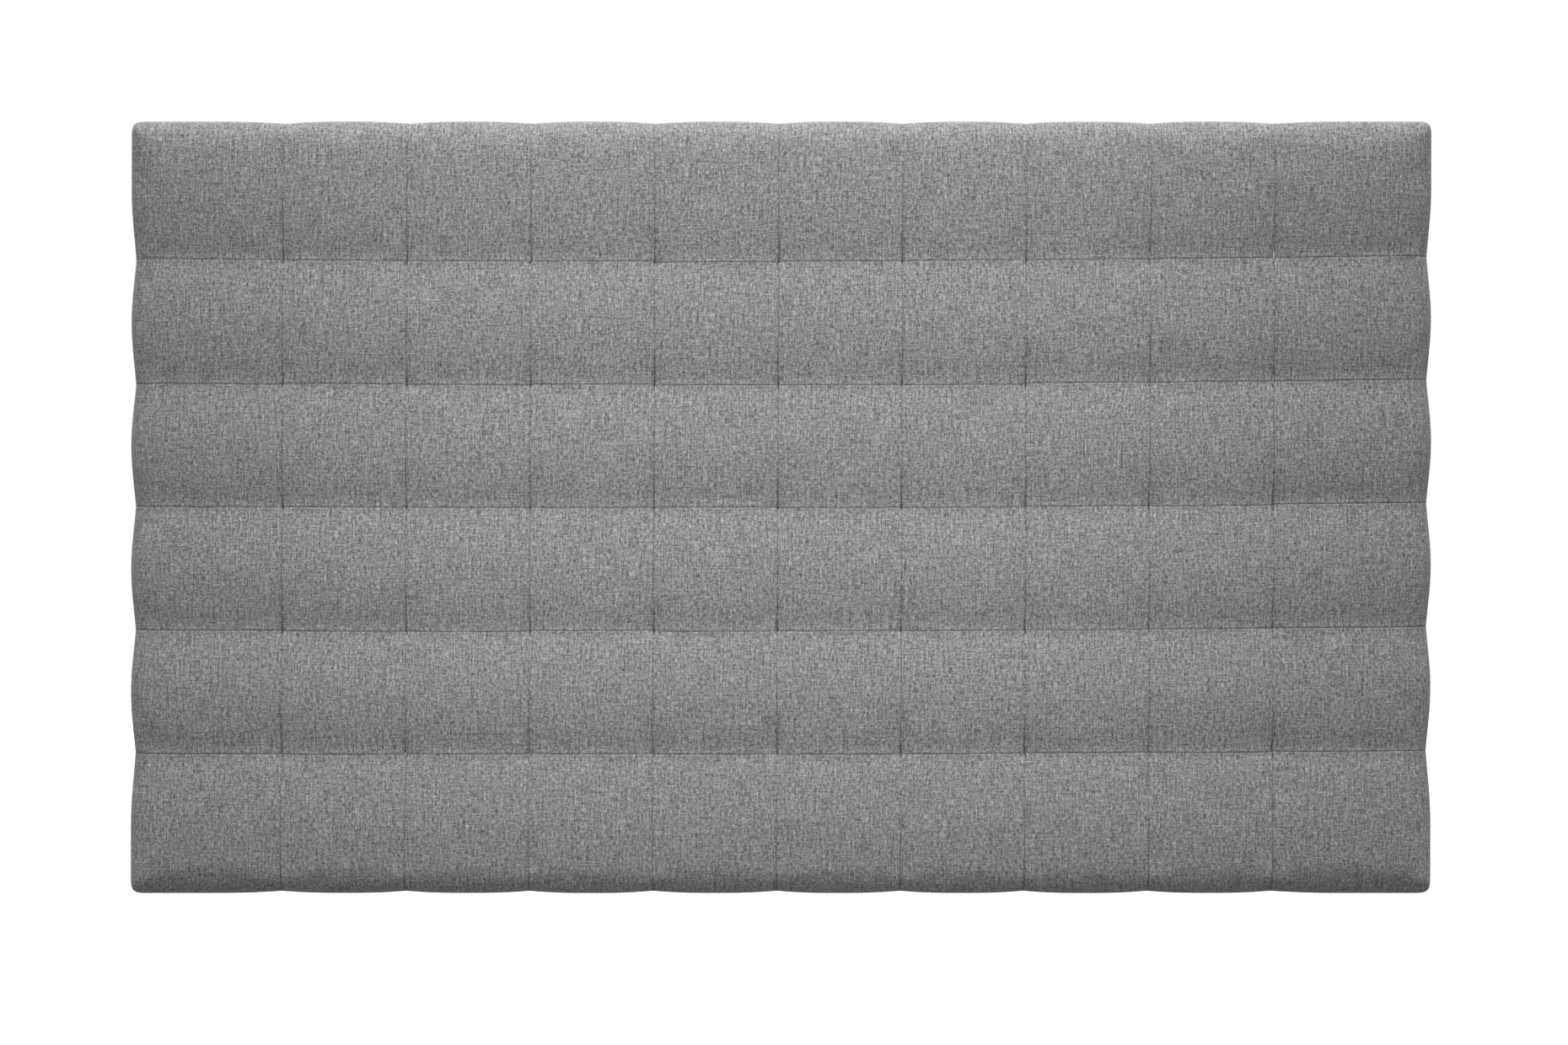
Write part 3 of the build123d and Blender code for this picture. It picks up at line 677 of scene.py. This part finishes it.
def on_foam(places, turn, cover_span, foam_span):
    """Places of the cover's grid along one axis, moved in to the outline of the foam."""
    middle = sum(cover_span) / 2
    flat_half = (foam_span[1] - foam_span[0]) / 2 - FOAM_RADIUS
    cover_half = (cover_span[1] - cover_span[0]) / 2 - EDGE_RADIUS
    inside = (places - middle) * flat_half / cover_half
    bent = np.sign(turn) * (flat_half + FOAM_RADIUS * np.abs(turn) / EDGE_RADIUS)
    return middle + np.where(turn == 0, inside, bent)


front_now = cover_points[: count_x * count_z].reshape(count_z, count_x, 3)
slope_x, slope_z = np.gradient(front_now, axis=1), np.gradient(front_now, axis=0)
outwards = np.cross(slope_x, slope_z)
outwards /= np.linalg.norm(outwards, axis=2, keepdims=True)
pad_front = front_now - (CLOTH_ROOM + DENT_ROOM * dimple)[:, :, None] * outwards
foam_x = on_foam(grid_x, turn_x, (panel_low.x, panel_high.x), (foam_low.x, foam_high.x))
foam_z = on_foam(grid_z, turn_z, (panel_low.z, panel_high.z), (foam_low.z, foam_high.z))
past_x = foam_x - np.clip(foam_x, foam_low.x + FOAM_RADIUS, foam_high.x - FOAM_RADIUS)
past_z = foam_z - np.clip(foam_z, foam_low.z + FOAM_RADIUS, foam_high.z - FOAM_RADIUS)
pad_back_x = foam_x[None, :] - past_x[None, :] * (1 - keep)
pad_back_z = foam_z[:, None] - past_z[:, None] * (1 - keep)
foam_drop = FOAM_RADIUS - np.sqrt(np.maximum(FOAM_RADIUS**2 - (most * FOAM_RADIUS / EDGE_RADIUS) ** 2, 0))
pad_back_y = np.maximum(foam_front + foam_drop, pad_front[:, :, 1] + LEAST_PAD)
pad_back = np.stack([pad_back_x, pad_back_y, pad_back_z], axis=-1)
print("wadding up to", round(float((pad_back_y - pad_front[:, :, 1]).max()) * 1000, 1), "mm thick")

# %% [markdown]
# The two surfaces are joined into closed pads, one to a square. Round the edge a pad also gets rings of
# points that go back along the side of the frame.

# %% Wadding pads
SIDE_STEPS = 4


def thinned(marks, count):
    """Every third grid line, and all that lie on a seam."""
    return np.array(sorted(set(range(0, count, GRID_STRIDE)) | set(marks) | {count - 1}))


def with_sides(grid, depth_end, steps):
    """A grid's points, and its outer line repeated straight back to a depth."""
    edge = loop_around(grid)
    points = [grid.reshape(-1, 3)]
    for step in range(1, steps + 1):
        ring = edge.copy()
        ring[:, 1] += (depth_end - edge[:, 1]) * step / steps
        points.append(ring)
    return np.concatenate(points)


kept_x, kept_z = thinned(column_marks, count_x), thinned(row_marks, count_z)
wad_outer, wad_inner = pad_front[np.ix_(kept_z, kept_x)], pad_back[np.ix_(kept_z, kept_x)]
wad_across, wad_up = len(kept_x), len(kept_z)
wad_loop = loop_around(numbered(wad_across, wad_up))
outer_points = with_sides(wad_outer, WAD_END, SIDE_STEPS)
inner_points = with_sides(wad_inner, WAD_END, SIDE_STEPS)
wad_front_faces = grid_faces(wad_across, wad_up)
wad_bands = band_faces(ring_lines(wad_loop, wad_across * wad_up, SIDE_STEPS))
wad_faces = np.concatenate([wad_front_faces, *wad_bands])
front_cells = cell_of(kept_z[:-1], row_marks)[:, None] * COLUMNS + cell_of(kept_x[:-1], column_marks)[None, :]
loop_cells = loop_around(np.pad(front_cells, ((0, 1), (0, 1)), mode="edge"))
low_half = np.arange(len(wad_loop)) < (wad_across - 1) + (wad_up - 1)
loop_cells = np.where(low_half, loop_cells, np.roll(loop_cells, -1))
wad_cells = np.concatenate([front_cells.ravel(), *[loop_cells] * SIDE_STEPS])


def closed_pads():
    """Points and faces of all pads: both surfaces of each square, closed round their edge."""
    points, faces = [], []
    for cell in range(ROWS * COLUMNS):
        own = wad_faces[wad_cells == cell]
        used, local = np.unique(own, return_inverse=True)
        local = local.reshape(-1, 4)
        start, count = sum(map(len, points)), len(used)
        points += [outer_points[used], inner_points[used]]
        edges = np.stack([local, np.roll(local, -1, axis=1)], axis=-1).reshape(-1, 2)
        known = set(map(tuple, edges.tolist()))
        rims = [(a, b) for a, b in known if (b, a) not in known]
        faces += (local + start).tolist() + (local[:, ::-1] + start + count).tolist()
        faces += [(b + start, a + start, a + start + count, b + start + count) for a, b in rims]
    return np.concatenate(points), faces


wadding = mesh_object("wadding_pads", *closed_pads())
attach(wadding, "headboard")
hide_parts("wadding_squares")
print("wadding", len(wadding.data.polygons), "faces")

# %% [markdown]
# The foam is one slab, 30 mm thick, with rounded edges. Where a twine pulls the cloth deepest it presses
# a dent into the foam, so the slab takes its front from the inner surface of the wadding, and its sides
# go straight back to the plywood.

# %% Foam pad
FOAM_GAP = 0.0003
FOAM_SIDE_STEPS = 3
foam_points = with_sides(wad_inner + np.array([0, FOAM_GAP, 0]), foam_high.y, FOAM_SIDE_STEPS)
foam_lines = ring_lines(wad_loop, wad_across * wad_up, FOAM_SIDE_STEPS)
foam_faces = np.concatenate([wad_front_faces, *band_faces(foam_lines)]).tolist()
foam_faces.append(foam_lines[-1][::-1].tolist())
foam = mesh_object("foam_slab", foam_points, foam_faces)
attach(foam, "headboard")
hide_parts("foam_pad")
print("foam", len(foam.data.polygons), "faces")

# %% [markdown]
# A thin black cloth closes the back. It is folded over once and stapled all round, so it is tight at its
# rim and slack between the timbers, where it hangs in by a few millimetres. The sag is a smooth hollow in
# each bay, and small waves run in from the rim between the staples.

# %% Dust cover
DUST_THICKNESS = 0.0006
DUST_FOLD, FOLD_SLOPE = 0.0213, 0.0008
DUST_STEP = 0.012
BAY_SAG, SAG_CURVE, SLACK_GAIN = 0.0055, 0.8, 3
RIPPLE, RIPPLE_PLACE, RIPPLE_REACH = 0.0011, 0.06, 0.035
RIPPLE_DRIFT_X, RIPPLE_DRIFT_Z = 3.1, 2.3
STAPLE_PITCH = 0.05
dust_low, dust_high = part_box("back_dust_cover")
timbers = {name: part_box(name) for name in (
    "left_end_stile", "left_inner_stile", "centre_stile", "right_inner_stile", "right_end_stile",
    "bottom_rail", "top_rail",
)}


def places_between(low, high):
    """Even places with the fold of the rim close together at both ends."""
    fold = (0, DUST_FOLD / 2, DUST_FOLD)
    past_fold = DUST_FOLD + FOLD_SLOPE
    inner = np.linspace(low + past_fold, high - past_fold, round((high - low) / DUST_STEP))
    return np.array([*(low + near for near in fold), *inner, *(high - near for near in fold[::-1])])


dust_x, dust_z = places_between(dust_low.x, dust_high.x), places_between(dust_low.z, dust_high.z)
room_x = np.minimum(dust_x - dust_low.x, dust_high.x - dust_x)
room_z = np.minimum(dust_z - dust_low.z, dust_high.z - dust_z)
rim_room = np.minimum(room_x[None, :], room_z[:, None])
stiles = sorted((low.x, high.x) for name, (low, high) in timbers.items() if name.endswith("stile"))
bays_x = [(before[1], after[0]) for before, after in zip(stiles[:-1], stiles[1:])]
bay_z = (timbers["bottom_rail"][1].z, timbers["top_rail"][0].z)


def hollow(places, start, end):
    """0 at and outside the bay's edges and 1 in its middle."""
    share = np.clip((places - start) / (end - start), 0, 1)
    return np.sin(math.pi * share) ** SAG_CURVE


sag = sum(hollow(dust_x, *bay)[None, :] for bay in bays_x) * hollow(dust_z, *bay_z)[:, None]
wave_x = np.sin(dust_x * 2 * math.pi / STAPLE_PITCH) * np.sin(dust_x * RIPPLE_DRIFT_X)
wave_z = np.sin(dust_z * 2 * math.pi / STAPLE_PITCH) * np.sin(dust_z * RIPPLE_DRIFT_Z + 1)
near_rim = np.exp(-((rim_room - RIPPLE_PLACE) / RIPPLE_REACH) ** 2)
ripple = RIPPLE * (wave_x[None, :] + wave_z[:, None]) * near_rim
slack = np.clip(sag * SLACK_GAIN, 0, 1)
on_rim = rim_room <= DUST_FOLD + 1e-6
dust_y = np.where(on_rim, dust_high.y, dust_low.y + DUST_THICKNESS) - BAY_SAG * sag - slack * np.abs(ripple)
dust_across, dust_up = np.meshgrid(dust_x, dust_z)
dust_points = np.stack([dust_across, dust_y, dust_up], axis=-1).reshape(-1, 3)
dust_faces = grid_faces(len(dust_x), len(dust_z))[:, ::-1]
dust_cover = mesh_object("dust_cover_cloth", dust_points, dust_faces.tolist())
body = dust_cover.modifiers.new("cloth thickness", "SOLIDIFY")
body.thickness, body.offset = DUST_THICKNESS, -1
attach(dust_cover, "headboard")
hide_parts("back_dust_cover")
print("dust cover", len(dust_cover.data.polygons), "faces")

# %% [markdown]
# The cloth is a heather weave: grey yarn spun from darker and lighter fibres, thick in some places and
# thin in others. Close by one sees single threads crossing, and from a few steps short light and dark
# flecks, most of them upright. All of the weave is drawn from the flat pattern in metres, so the flecks
# have their real size and lie straight on the cloth also where it turns. Over it comes painted shade:
# the colour goes towards a dark grey deep in the seams and at the twine ticks, by the numbers on the points.

# %% Heather cloth
HEATHER_DARK, HEATHER_LIGHT = 0.065, 0.58
THREAD_PITCH = 0.0011


def finish_for(name):
    """A new node material: the material, helpers to add and link nodes, and its shader."""
    material = bpy.data.materials.new(name)
    material.use_nodes = True
    add, link = new_nodes(material.node_tree)
    shader = add("ShaderNodeBsdfPrincipled")
    link(shader.outputs[0], add("ShaderNodeOutputMaterial").inputs["Surface"])
    return material, add, link, shader


def arithmetic(add, link, operation, *values):
    """A math node fed by sockets or numbers."""
    node = add("ShaderNodeMath", operation=operation)
    for place, value in enumerate(values):
        if isinstance(value, (int, float)):
            node.inputs[place].default_value = value
        else:
            link(value, node.inputs[place])
    return node.outputs[0]


def stretched(add, link, source, scale, turn=0.0):
    """Coordinates scaled per axis, for a pattern that is longer one way than the other."""
    mapping = add("ShaderNodeMapping")
    mapping.inputs["Scale"].default_value = scale
    mapping.inputs["Rotation"].default_value = (0, 0, turn)
    link(source, mapping.inputs["Vector"])
    return mapping.outputs[0]


def noise(add, link, source, scale, detail=2.0, roughness=0.5):
    """A noise pattern at the given number of waves per unit of its source."""
    node = add("ShaderNodeTexNoise")
    node.inputs["Scale"].default_value = scale
    node.inputs["Detail"].default_value = detail
    node.inputs["Roughness"].default_value = roughness
    link(source, node.inputs["Vector"])
    return node.outputs["Fac"]


def spread(add, link, source, low, high, to_low=0.0, to_high=1.0):
    """A value's range from low to high, stretched to another range and kept inside it."""
    node = add("ShaderNodeMapRange", interpolation_type="SMOOTHSTEP")
    for socket, value in zip(("From Min", "From Max", "To Min", "To Max"), (low, high, to_low, to_high)):
        node.inputs[socket].default_value = value
    link(source, node.inputs["Value"])
    return node.outputs[0]


def grey_mix(add, link, share, first, second):
    """Two colours mixed by a share, each given as a socket, a grey or four numbers."""
    node = add("ShaderNodeMix", data_type="RGBA")
    link(share, node.inputs["Factor"])
    for socket, value in (("A", first), ("B", second)):
        target = [s for s in node.inputs if s.name == socket and s.type == "RGBA"][0]
        if isinstance(value, (int, float)):
            target.default_value = (value, value, value, 1)
        elif isinstance(value, tuple):
            target.default_value = value
        else:
            link(value, target)
    return [s for s in node.outputs if s.type == "RGBA"][0]


def relief(add, link, shader, height, strength, depth):
    """Shades a surface as if a pattern stood out of it by a depth."""
    bump = add("ShaderNodeBump")
    bump.inputs["Strength"].default_value = strength
    bump.inputs["Distance"].default_value = depth
    link(height, bump.inputs["Height"])
    link(bump.outputs[0], shader.inputs["Normal"])


YARN_MIX = (
    ("long upright slubs", (520, 26, 1), 0.6),
    ("short upright slubs", (600, 150, 1), 0.95),
    ("long level slubs", (30, 560, 1), 0.4),
    ("short level slubs", (250, 520, 1), 1.0),
    ("loose fibre", (900, 800, 1), 0.7),
)
MIX_GAIN = 1.03
YARN_TURN, YARN_DETAIL, YARN_BREAKUP = 0.01, 2.0, 0.55
YARN_CURVE = 1.5
# Painted shade in the seams: how strongly it darkens the colour, and the dark grey it goes towards.
SEAM_SHADE_STRENGTH, SEAM_SHADE_GREY = 0.75, HEATHER_DARK / 4
THREAD_SHARE, CLOTH_RELIEF, CLOTH_DEPTH = 0.35, 0.35, 0.0004
DARK_YARN_ROUGHNESS, LIGHT_YARN_ROUGHNESS = 0.97, 0.84
CLOTH_SHINE, CLOTH_SHEEN, SHEEN_ROUGHNESS = 0.25, 0.12, 0.5

heather, add, link, cloth_shader = finish_for("grey_heather_cloth")
pattern = add("ShaderNodeUVMap", uv_map="flat_pattern").outputs[0]
tone = 0.5
for yarn, waves, weight in YARN_MIX:
    along_yarn = stretched(add, link, pattern, waves, YARN_TURN)
    yarn_noise = noise(add, link, along_yarn, 1.0, YARN_DETAIL, YARN_BREAKUP)
    apart = arithmetic(add, link, "SUBTRACT", yarn_noise, 0.5)
    tone = arithmetic(add, link, "MULTIPLY_ADD", apart, weight * MIX_GAIN, tone)
share = arithmetic(add, link, "MINIMUM", arithmetic(add, link, "MAXIMUM", tone, 0.0), 1.0)
light_share = arithmetic(add, link, "POWER", share, YARN_CURVE)
yarn_grey = grey_mix(add, link, light_share, HEATHER_DARK, HEATHER_LIGHT)
# Painted shade: the colour is mixed towards a dark grey by the seam shade kept on the points.
stored_seam_shade = add("ShaderNodeAttribute", attribute_name="painted_seam_shade").outputs["Fac"]
painted_seam_shade = arithmetic(add, link, "MULTIPLY", stored_seam_shade, SEAM_SHADE_STRENGTH)
link(grey_mix(add, link, painted_seam_shade, yarn_grey, SEAM_SHADE_GREY), cloth_shader.inputs["Base Color"])
place = add("ShaderNodeSeparateXYZ")
link(pattern, place.inputs[0])
warp = arithmetic(add, link, "PINGPONG", place.outputs["X"], THREAD_PITCH / 2)
weft = arithmetic(add, link, "PINGPONG", place.outputs["Y"], THREAD_PITCH / 2)
thread_height = arithmetic(add, link, "MAXIMUM", warp, weft)
weave_height = arithmetic(add, link, "MULTIPLY_ADD", thread_height, THREAD_SHARE / THREAD_PITCH, tone)
relief(add, link, cloth_shader, weave_height, CLOTH_RELIEF, CLOTH_DEPTH)
roughness = spread(add, link, tone, 0.2, 0.8, DARK_YARN_ROUGHNESS, LIGHT_YARN_ROUGHNESS)
link(roughness, cloth_shader.inputs["Roughness"])
cloth_shader.inputs["Specular IOR Level"].default_value = CLOTH_SHINE
cloth_shader.inputs["Sheen Weight"].default_value = CLOTH_SHEEN
cloth_shader.inputs["Sheen Roughness"].default_value = SHEEN_ROUGHNESS
for strip in strips:
    strip.data.materials.append(heather)
print("heather cloth on", len(strips), "strips")

# %% [markdown]
# The screws in the brackets and bumpers show from behind, so they get what the plain CAD screws leave
# out: a domed head with a cross-shaped recess. Each is turned from a short profile, and the recess is
# pressed in by moving the middle of the head along a cross.

# %% Screw heads with a cross recess
HEAD_SPOKES = 32
HEAD_RINGS = (0.12, 0.3, 0.5, 0.68, 0.86, 0.97, 1.0)
DOME_DROP, RECESS_BAND = 0.35, 0.4
RECESS_ARM, RECESS_CORE, ARM_NARROWNESS = 0.55, 0.2, 6
RECESS_DEPTH = 0.0011
TIP_LENGTH, TIP_RADIUS = 0.003, 0.0002
SCREW_REACH = 0.012


def screw_places(node):
    """The centre line of every screw in a CAD node, and how far its screws reach forward and back."""
    holder = frame["nodes"][node]
    points = np.array([vertex.co for vertex in holder.data.vertices])
    points = points @ np.array(holder.matrix_world.to_3x3()).T + np.array(holder.matrix_world.translation)
    found = []
    for point in points:
        if any(np.hypot(point[0] - x, point[2] - z) < SCREW_REACH for x, z in found):
            continue
        near = points[np.hypot(points[:, 0] - point[0], points[:, 2] - point[2]) < SCREW_REACH]
        found.append([(near[:, axis].min() + near[:, axis].max()) / 2 for axis in (0, 2)])
    return found, points[:, 1].min(), points[:, 1].max()


def screws_piece(name, node, head_radius, head_height, shank_radius):
    """Screws with recessed heads in the places of a CAD node's screws, their heads towards the wall."""
    places, tip, top = screw_places(node)
    under_head, recess_end = top - head_height, top - head_height * RECESS_BAND
    radii = np.array(HEAD_RINGS) * head_radius
    turns = np.arange(HEAD_SPOKES) * 2 * math.pi / HEAD_SPOKES
    dome = top - head_height * DOME_DROP * (radii / head_radius) ** 3
    arms = np.abs(np.cos(2 * turns)) ** ARM_NARROWNESS
    profile = [*zip(radii, dome), (head_radius, under_head), (shank_radius, under_head)]
    profile += [(shank_radius, tip + TIP_LENGTH), (TIP_RADIUS, tip)]
    points, faces = [], []
    for x, z in places:
        spin = hand.uniform(0, math.pi / 2)
        start = len(points)
        for radius, depth in profile:
            pressed = RECESS_DEPTH * arms * (radius < RECESS_ARM * head_radius) * (depth > recess_end)
            pressed = np.where(radius < RECESS_CORE * head_radius, RECESS_DEPTH, pressed)
            for turn, push in zip(turns + spin, pressed):
                points.append((x + radius * math.cos(turn), depth - push, z + radius * math.sin(turn)))
        points.append((x, top - RECESS_DEPTH, z))
        for ring in range(len(profile) - 1):
            for spoke in range(HEAD_SPOKES):
                ahead = (spoke + 1) % HEAD_SPOKES
                a, b = start + ring * HEAD_SPOKES + spoke, start + ring * HEAD_SPOKES + ahead
                faces.append((a, a + HEAD_SPOKES, b + HEAD_SPOKES, b))
        middle = len(points) - 1
        faces += [(middle, start + spoke, start + (spoke + 1) % HEAD_SPOKES) for spoke in range(HEAD_SPOKES)]
    piece = mesh_object(name, points, faces)
    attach(piece, "headboard")
    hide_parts(node)
    print(name, len(places), "screws")
    return piece


bracket_screws = screws_piece("bracket_screw_set", "bracket_screws",
                              head_radius=0.004, head_height=0.0018, shank_radius=0.002)
bumper_screws = screws_piece("bumper_screw_set", "bumper_screws",
                             head_radius=0.0036, head_height=0.0016, shank_radius=0.00175)

# %% [markdown]
# The other materials are the ones inside such a headboard. Each gets the marks of how it is made: sawn
# pine has its grain along the piece, plywood its veneer, foam its open cells, wadding its loose fibres,
# and the dust cover the dimples of a spunbonded cloth. They take their pattern from the place in the
# object, in metres.

# %% Wood
PINE_PALE, PINE_GRAIN = (0.66, 0.44, 0.22, 1), (0.45, 0.25, 0.10, 1)
PLY_PALE, PLY_GRAIN = (0.60, 0.42, 0.25, 1), (0.42, 0.26, 0.13, 1)
BEECH_PALE, BEECH_GRAIN = (0.56, 0.34, 0.19, 1), (0.40, 0.22, 0.11, 1)
WANDER_SCALE, RING_WAVES, RING_SHARE = 0.35, 42.0, 0.22
PORE_SCALE, PORE_DETAIL, PORE_BREAKUP = 9, 4.0, 0.65
WOOD_RELIEF, WOOD_DEPTH = 0.3, 0.0003


def wood_finish(name, pale, grain, scale, roughness):
    """Wood with growth rings stretched along the grain, fine pores and a slightly uneven sheen."""
    material, add, link, shader = finish_for(name)
    here = add("ShaderNodeTexCoord").outputs["Object"]
    wander = noise(add, link, stretched(add, link, here, tuple(s * WANDER_SCALE for s in scale)), 1.0, 3.0)
    rings = arithmetic(add, link, "SINE", arithmetic(add, link, "MULTIPLY", wander, RING_WAVES))
    pore_place = stretched(add, link, here, tuple(s * PORE_SCALE for s in scale))
    fine = noise(add, link, pore_place, 1.0, PORE_DETAIL, PORE_BREAKUP)
    tone = arithmetic(add, link, "MULTIPLY_ADD", rings, RING_SHARE, fine)
    link(grey_mix(add, link, spread(add, link, tone, 0.25, 0.85), pale, grain), shader.inputs["Base Color"])
    link(spread(add, link, fine, 0.3, 0.7, roughness - 0.1, roughness + 0.1), shader.inputs["Roughness"])
    relief(add, link, shader, fine, WOOD_RELIEF, WOOD_DEPTH)
    return material


pine_along = wood_finish("sawn_pine_rail", PINE_PALE, PINE_GRAIN, (3, 40, 40), 0.62)
pine_upright = wood_finish("sawn_pine_stile", PINE_PALE, PINE_GRAIN, (40, 40, 3), 0.62)
plywood = wood_finish("plywood_veneer", PLY_PALE, PLY_GRAIN, (4, 180, 34), 0.58)
beech = wood_finish("beech_dowel", BEECH_PALE, BEECH_GRAIN, (12, 60, 60), 0.5)
print("wood finishes ready")

# %% [markdown]
# Foam, wadding, the dust cover, twine, washers and rubber are all matt and even. One recipe serves them:
# a noise gives the colour its two tones and the surface its relief, at the size of that material's cells
# or fibres.

# %% Filling, thread and rubber
GRAIN_DETAIL, GRAIN_BREAKUP, GRAIN_RELIEF = 4.0, 0.6, 0.6
BROAD_SCALE, BROAD_SHARE = 0.06, 0.5


def soft_finish(name, dark, light, scale, depth, roughness, sheen=0.0):
    """A matt finish from one noise: its colour between two tones, and its relief."""
    material, add, link, shader = finish_for(name)
    here = add("ShaderNodeTexCoord").outputs["Object"]
    grain = noise(add, link, stretched(add, link, here, scale), 1.0, GRAIN_DETAIL, GRAIN_BREAKUP)
    broad = noise(add, link, stretched(add, link, here, tuple(s * BROAD_SCALE for s in scale)), 1.0, 2.0)
    tone = arithmetic(add, link, "MULTIPLY_ADD", broad, BROAD_SHARE, grain)
    link(grey_mix(add, link, spread(add, link, tone, 0.45, 1.0), dark, light), shader.inputs["Base Color"])
    link(spread(add, link, grain, 0.3, 0.7, roughness - 0.06, roughness + 0.04), shader.inputs["Roughness"])
    shader.inputs["Sheen Weight"].default_value = sheen
    relief(add, link, shader, grain, GRAIN_RELIEF, depth)
    return material


wadding_white = soft_finish("white_wadding", (0.70, 0.70, 0.68, 1), (0.86, 0.86, 0.84, 1),
                            (260, 260, 260), 0.0012, 0.9, sheen=0.3)
foam_cream = soft_finish("cream_foam", (0.58, 0.50, 0.30, 1), (0.80, 0.73, 0.50, 1),
                         (900, 900, 900), 0.0004, 0.9)
dust_black = soft_finish("spunbonded_black", (0.010, 0.010, 0.011, 1), (0.034, 0.034, 0.036, 1),
                         (500, 500, 500), 0.0003, 0.85, sheen=0.15)
twine_grey = soft_finish("waxed_grey_twine", (0.020, 0.020, 0.020, 1), (0.060, 0.060, 0.058, 1),
                         (1500, 900, 1500), 0.0003, 0.6)
washer_grey = soft_finish("moulded_nylon", (0.09, 0.09, 0.10, 1), (0.14, 0.14, 0.15, 1),
                          (900, 1200, 900), 0.00008, 0.5)
rubber_black = soft_finish("matt_black_rubber", (0.012, 0.012, 0.012, 1), (0.030, 0.030, 0.030, 1),
                           (700, 700, 700), 0.0001, 0.72)
print("soft finishes ready")

# %% [markdown]
# The brackets and screws are zinc plated: bright grey, with the faint cloudy crystals of the plating and
# fine lines from the press. Staples are plain drawn wire, a little darker.

# %% Metal
LINE_WAVES = (2600, 2600, 90)
LINE_SHARE, LINE_RELIEF, LINE_DEPTH = 0.4, 0.15, 0.0001


def metal_finish(name, dark, light, scale, roughness):
    """Plated metal with cloudy crystals and fine drawn lines."""
    material, add, link, shader = finish_for(name)
    here = add("ShaderNodeTexCoord").outputs["Object"]
    cells = add("ShaderNodeTexVoronoi", feature="F1")
    cells.inputs["Scale"].default_value = scale
    link(here, cells.inputs["Vector"])
    lines = noise(add, link, stretched(add, link, here, LINE_WAVES), 1.0, 2.0)
    cloud = arithmetic(add, link, "MULTIPLY_ADD", lines, LINE_SHARE, cells.outputs["Distance"])
    link(grey_mix(add, link, spread(add, link, cloud, 0.2, 1.1), dark, light), shader.inputs["Base Color"])
    link(spread(add, link, cloud, 0.2, 1.1, roughness - 0.08, roughness + 0.1), shader.inputs["Roughness"])
    shader.inputs["Metallic"].default_value = 1.0
    relief(add, link, shader, lines, LINE_RELIEF, LINE_DEPTH)
    return material


zinc = metal_finish("zinc_plated_steel", (0.56, 0.57, 0.59, 1), (0.78, 0.79, 0.81, 1), 340.0, 0.36)
wire = metal_finish("bright_staple_wire", (0.42, 0.42, 0.43, 1), (0.70, 0.70, 0.71, 1), 900.0, 0.3)
print("metal finishes ready")

# %% [markdown]
# Last, every piece gets its material: the ones made here by name, and the CAD pieces that stay visible by
# the slot that the record gives them. Rails run across, so their grain does too, and the stiles' grain
# runs up.

# %% Materials on all pieces
finishes = {
    "pine": pine_upright, "plywood": plywood, "beech": beech, "zinc_steel": zinc, "staple_wire": wire,
    "waxed_twine": twine_grey, "washer_fibre": washer_grey, "bumper_rubber": rubber_black,
    "wadding": wadding_white, "foam": foam_cream, "dust_cloth": dust_black, "heather_cloth": heather,
}


def dressed(obj, material):
    """Puts one material on an object in place of any it had."""
    obj.data.materials.clear()
    obj.data.materials.append(material)


node_slots = {part["node"]: part["material_slot"] for part in frame["record"]["subparts"]}
for node_name, node in frame["nodes"].items():
    dressed(node, pine_along if node_name.endswith("rail") else finishes[node_slots[node_name]])
for piece, material in ((wadding, wadding_white), (foam, foam_cream), (dust_cover, dust_black),
                        (bracket_screws, zinc), (bumper_screws, zinc)):
    dressed(piece, material)
print("materials on", len(frame["nodes"]), "CAD nodes")
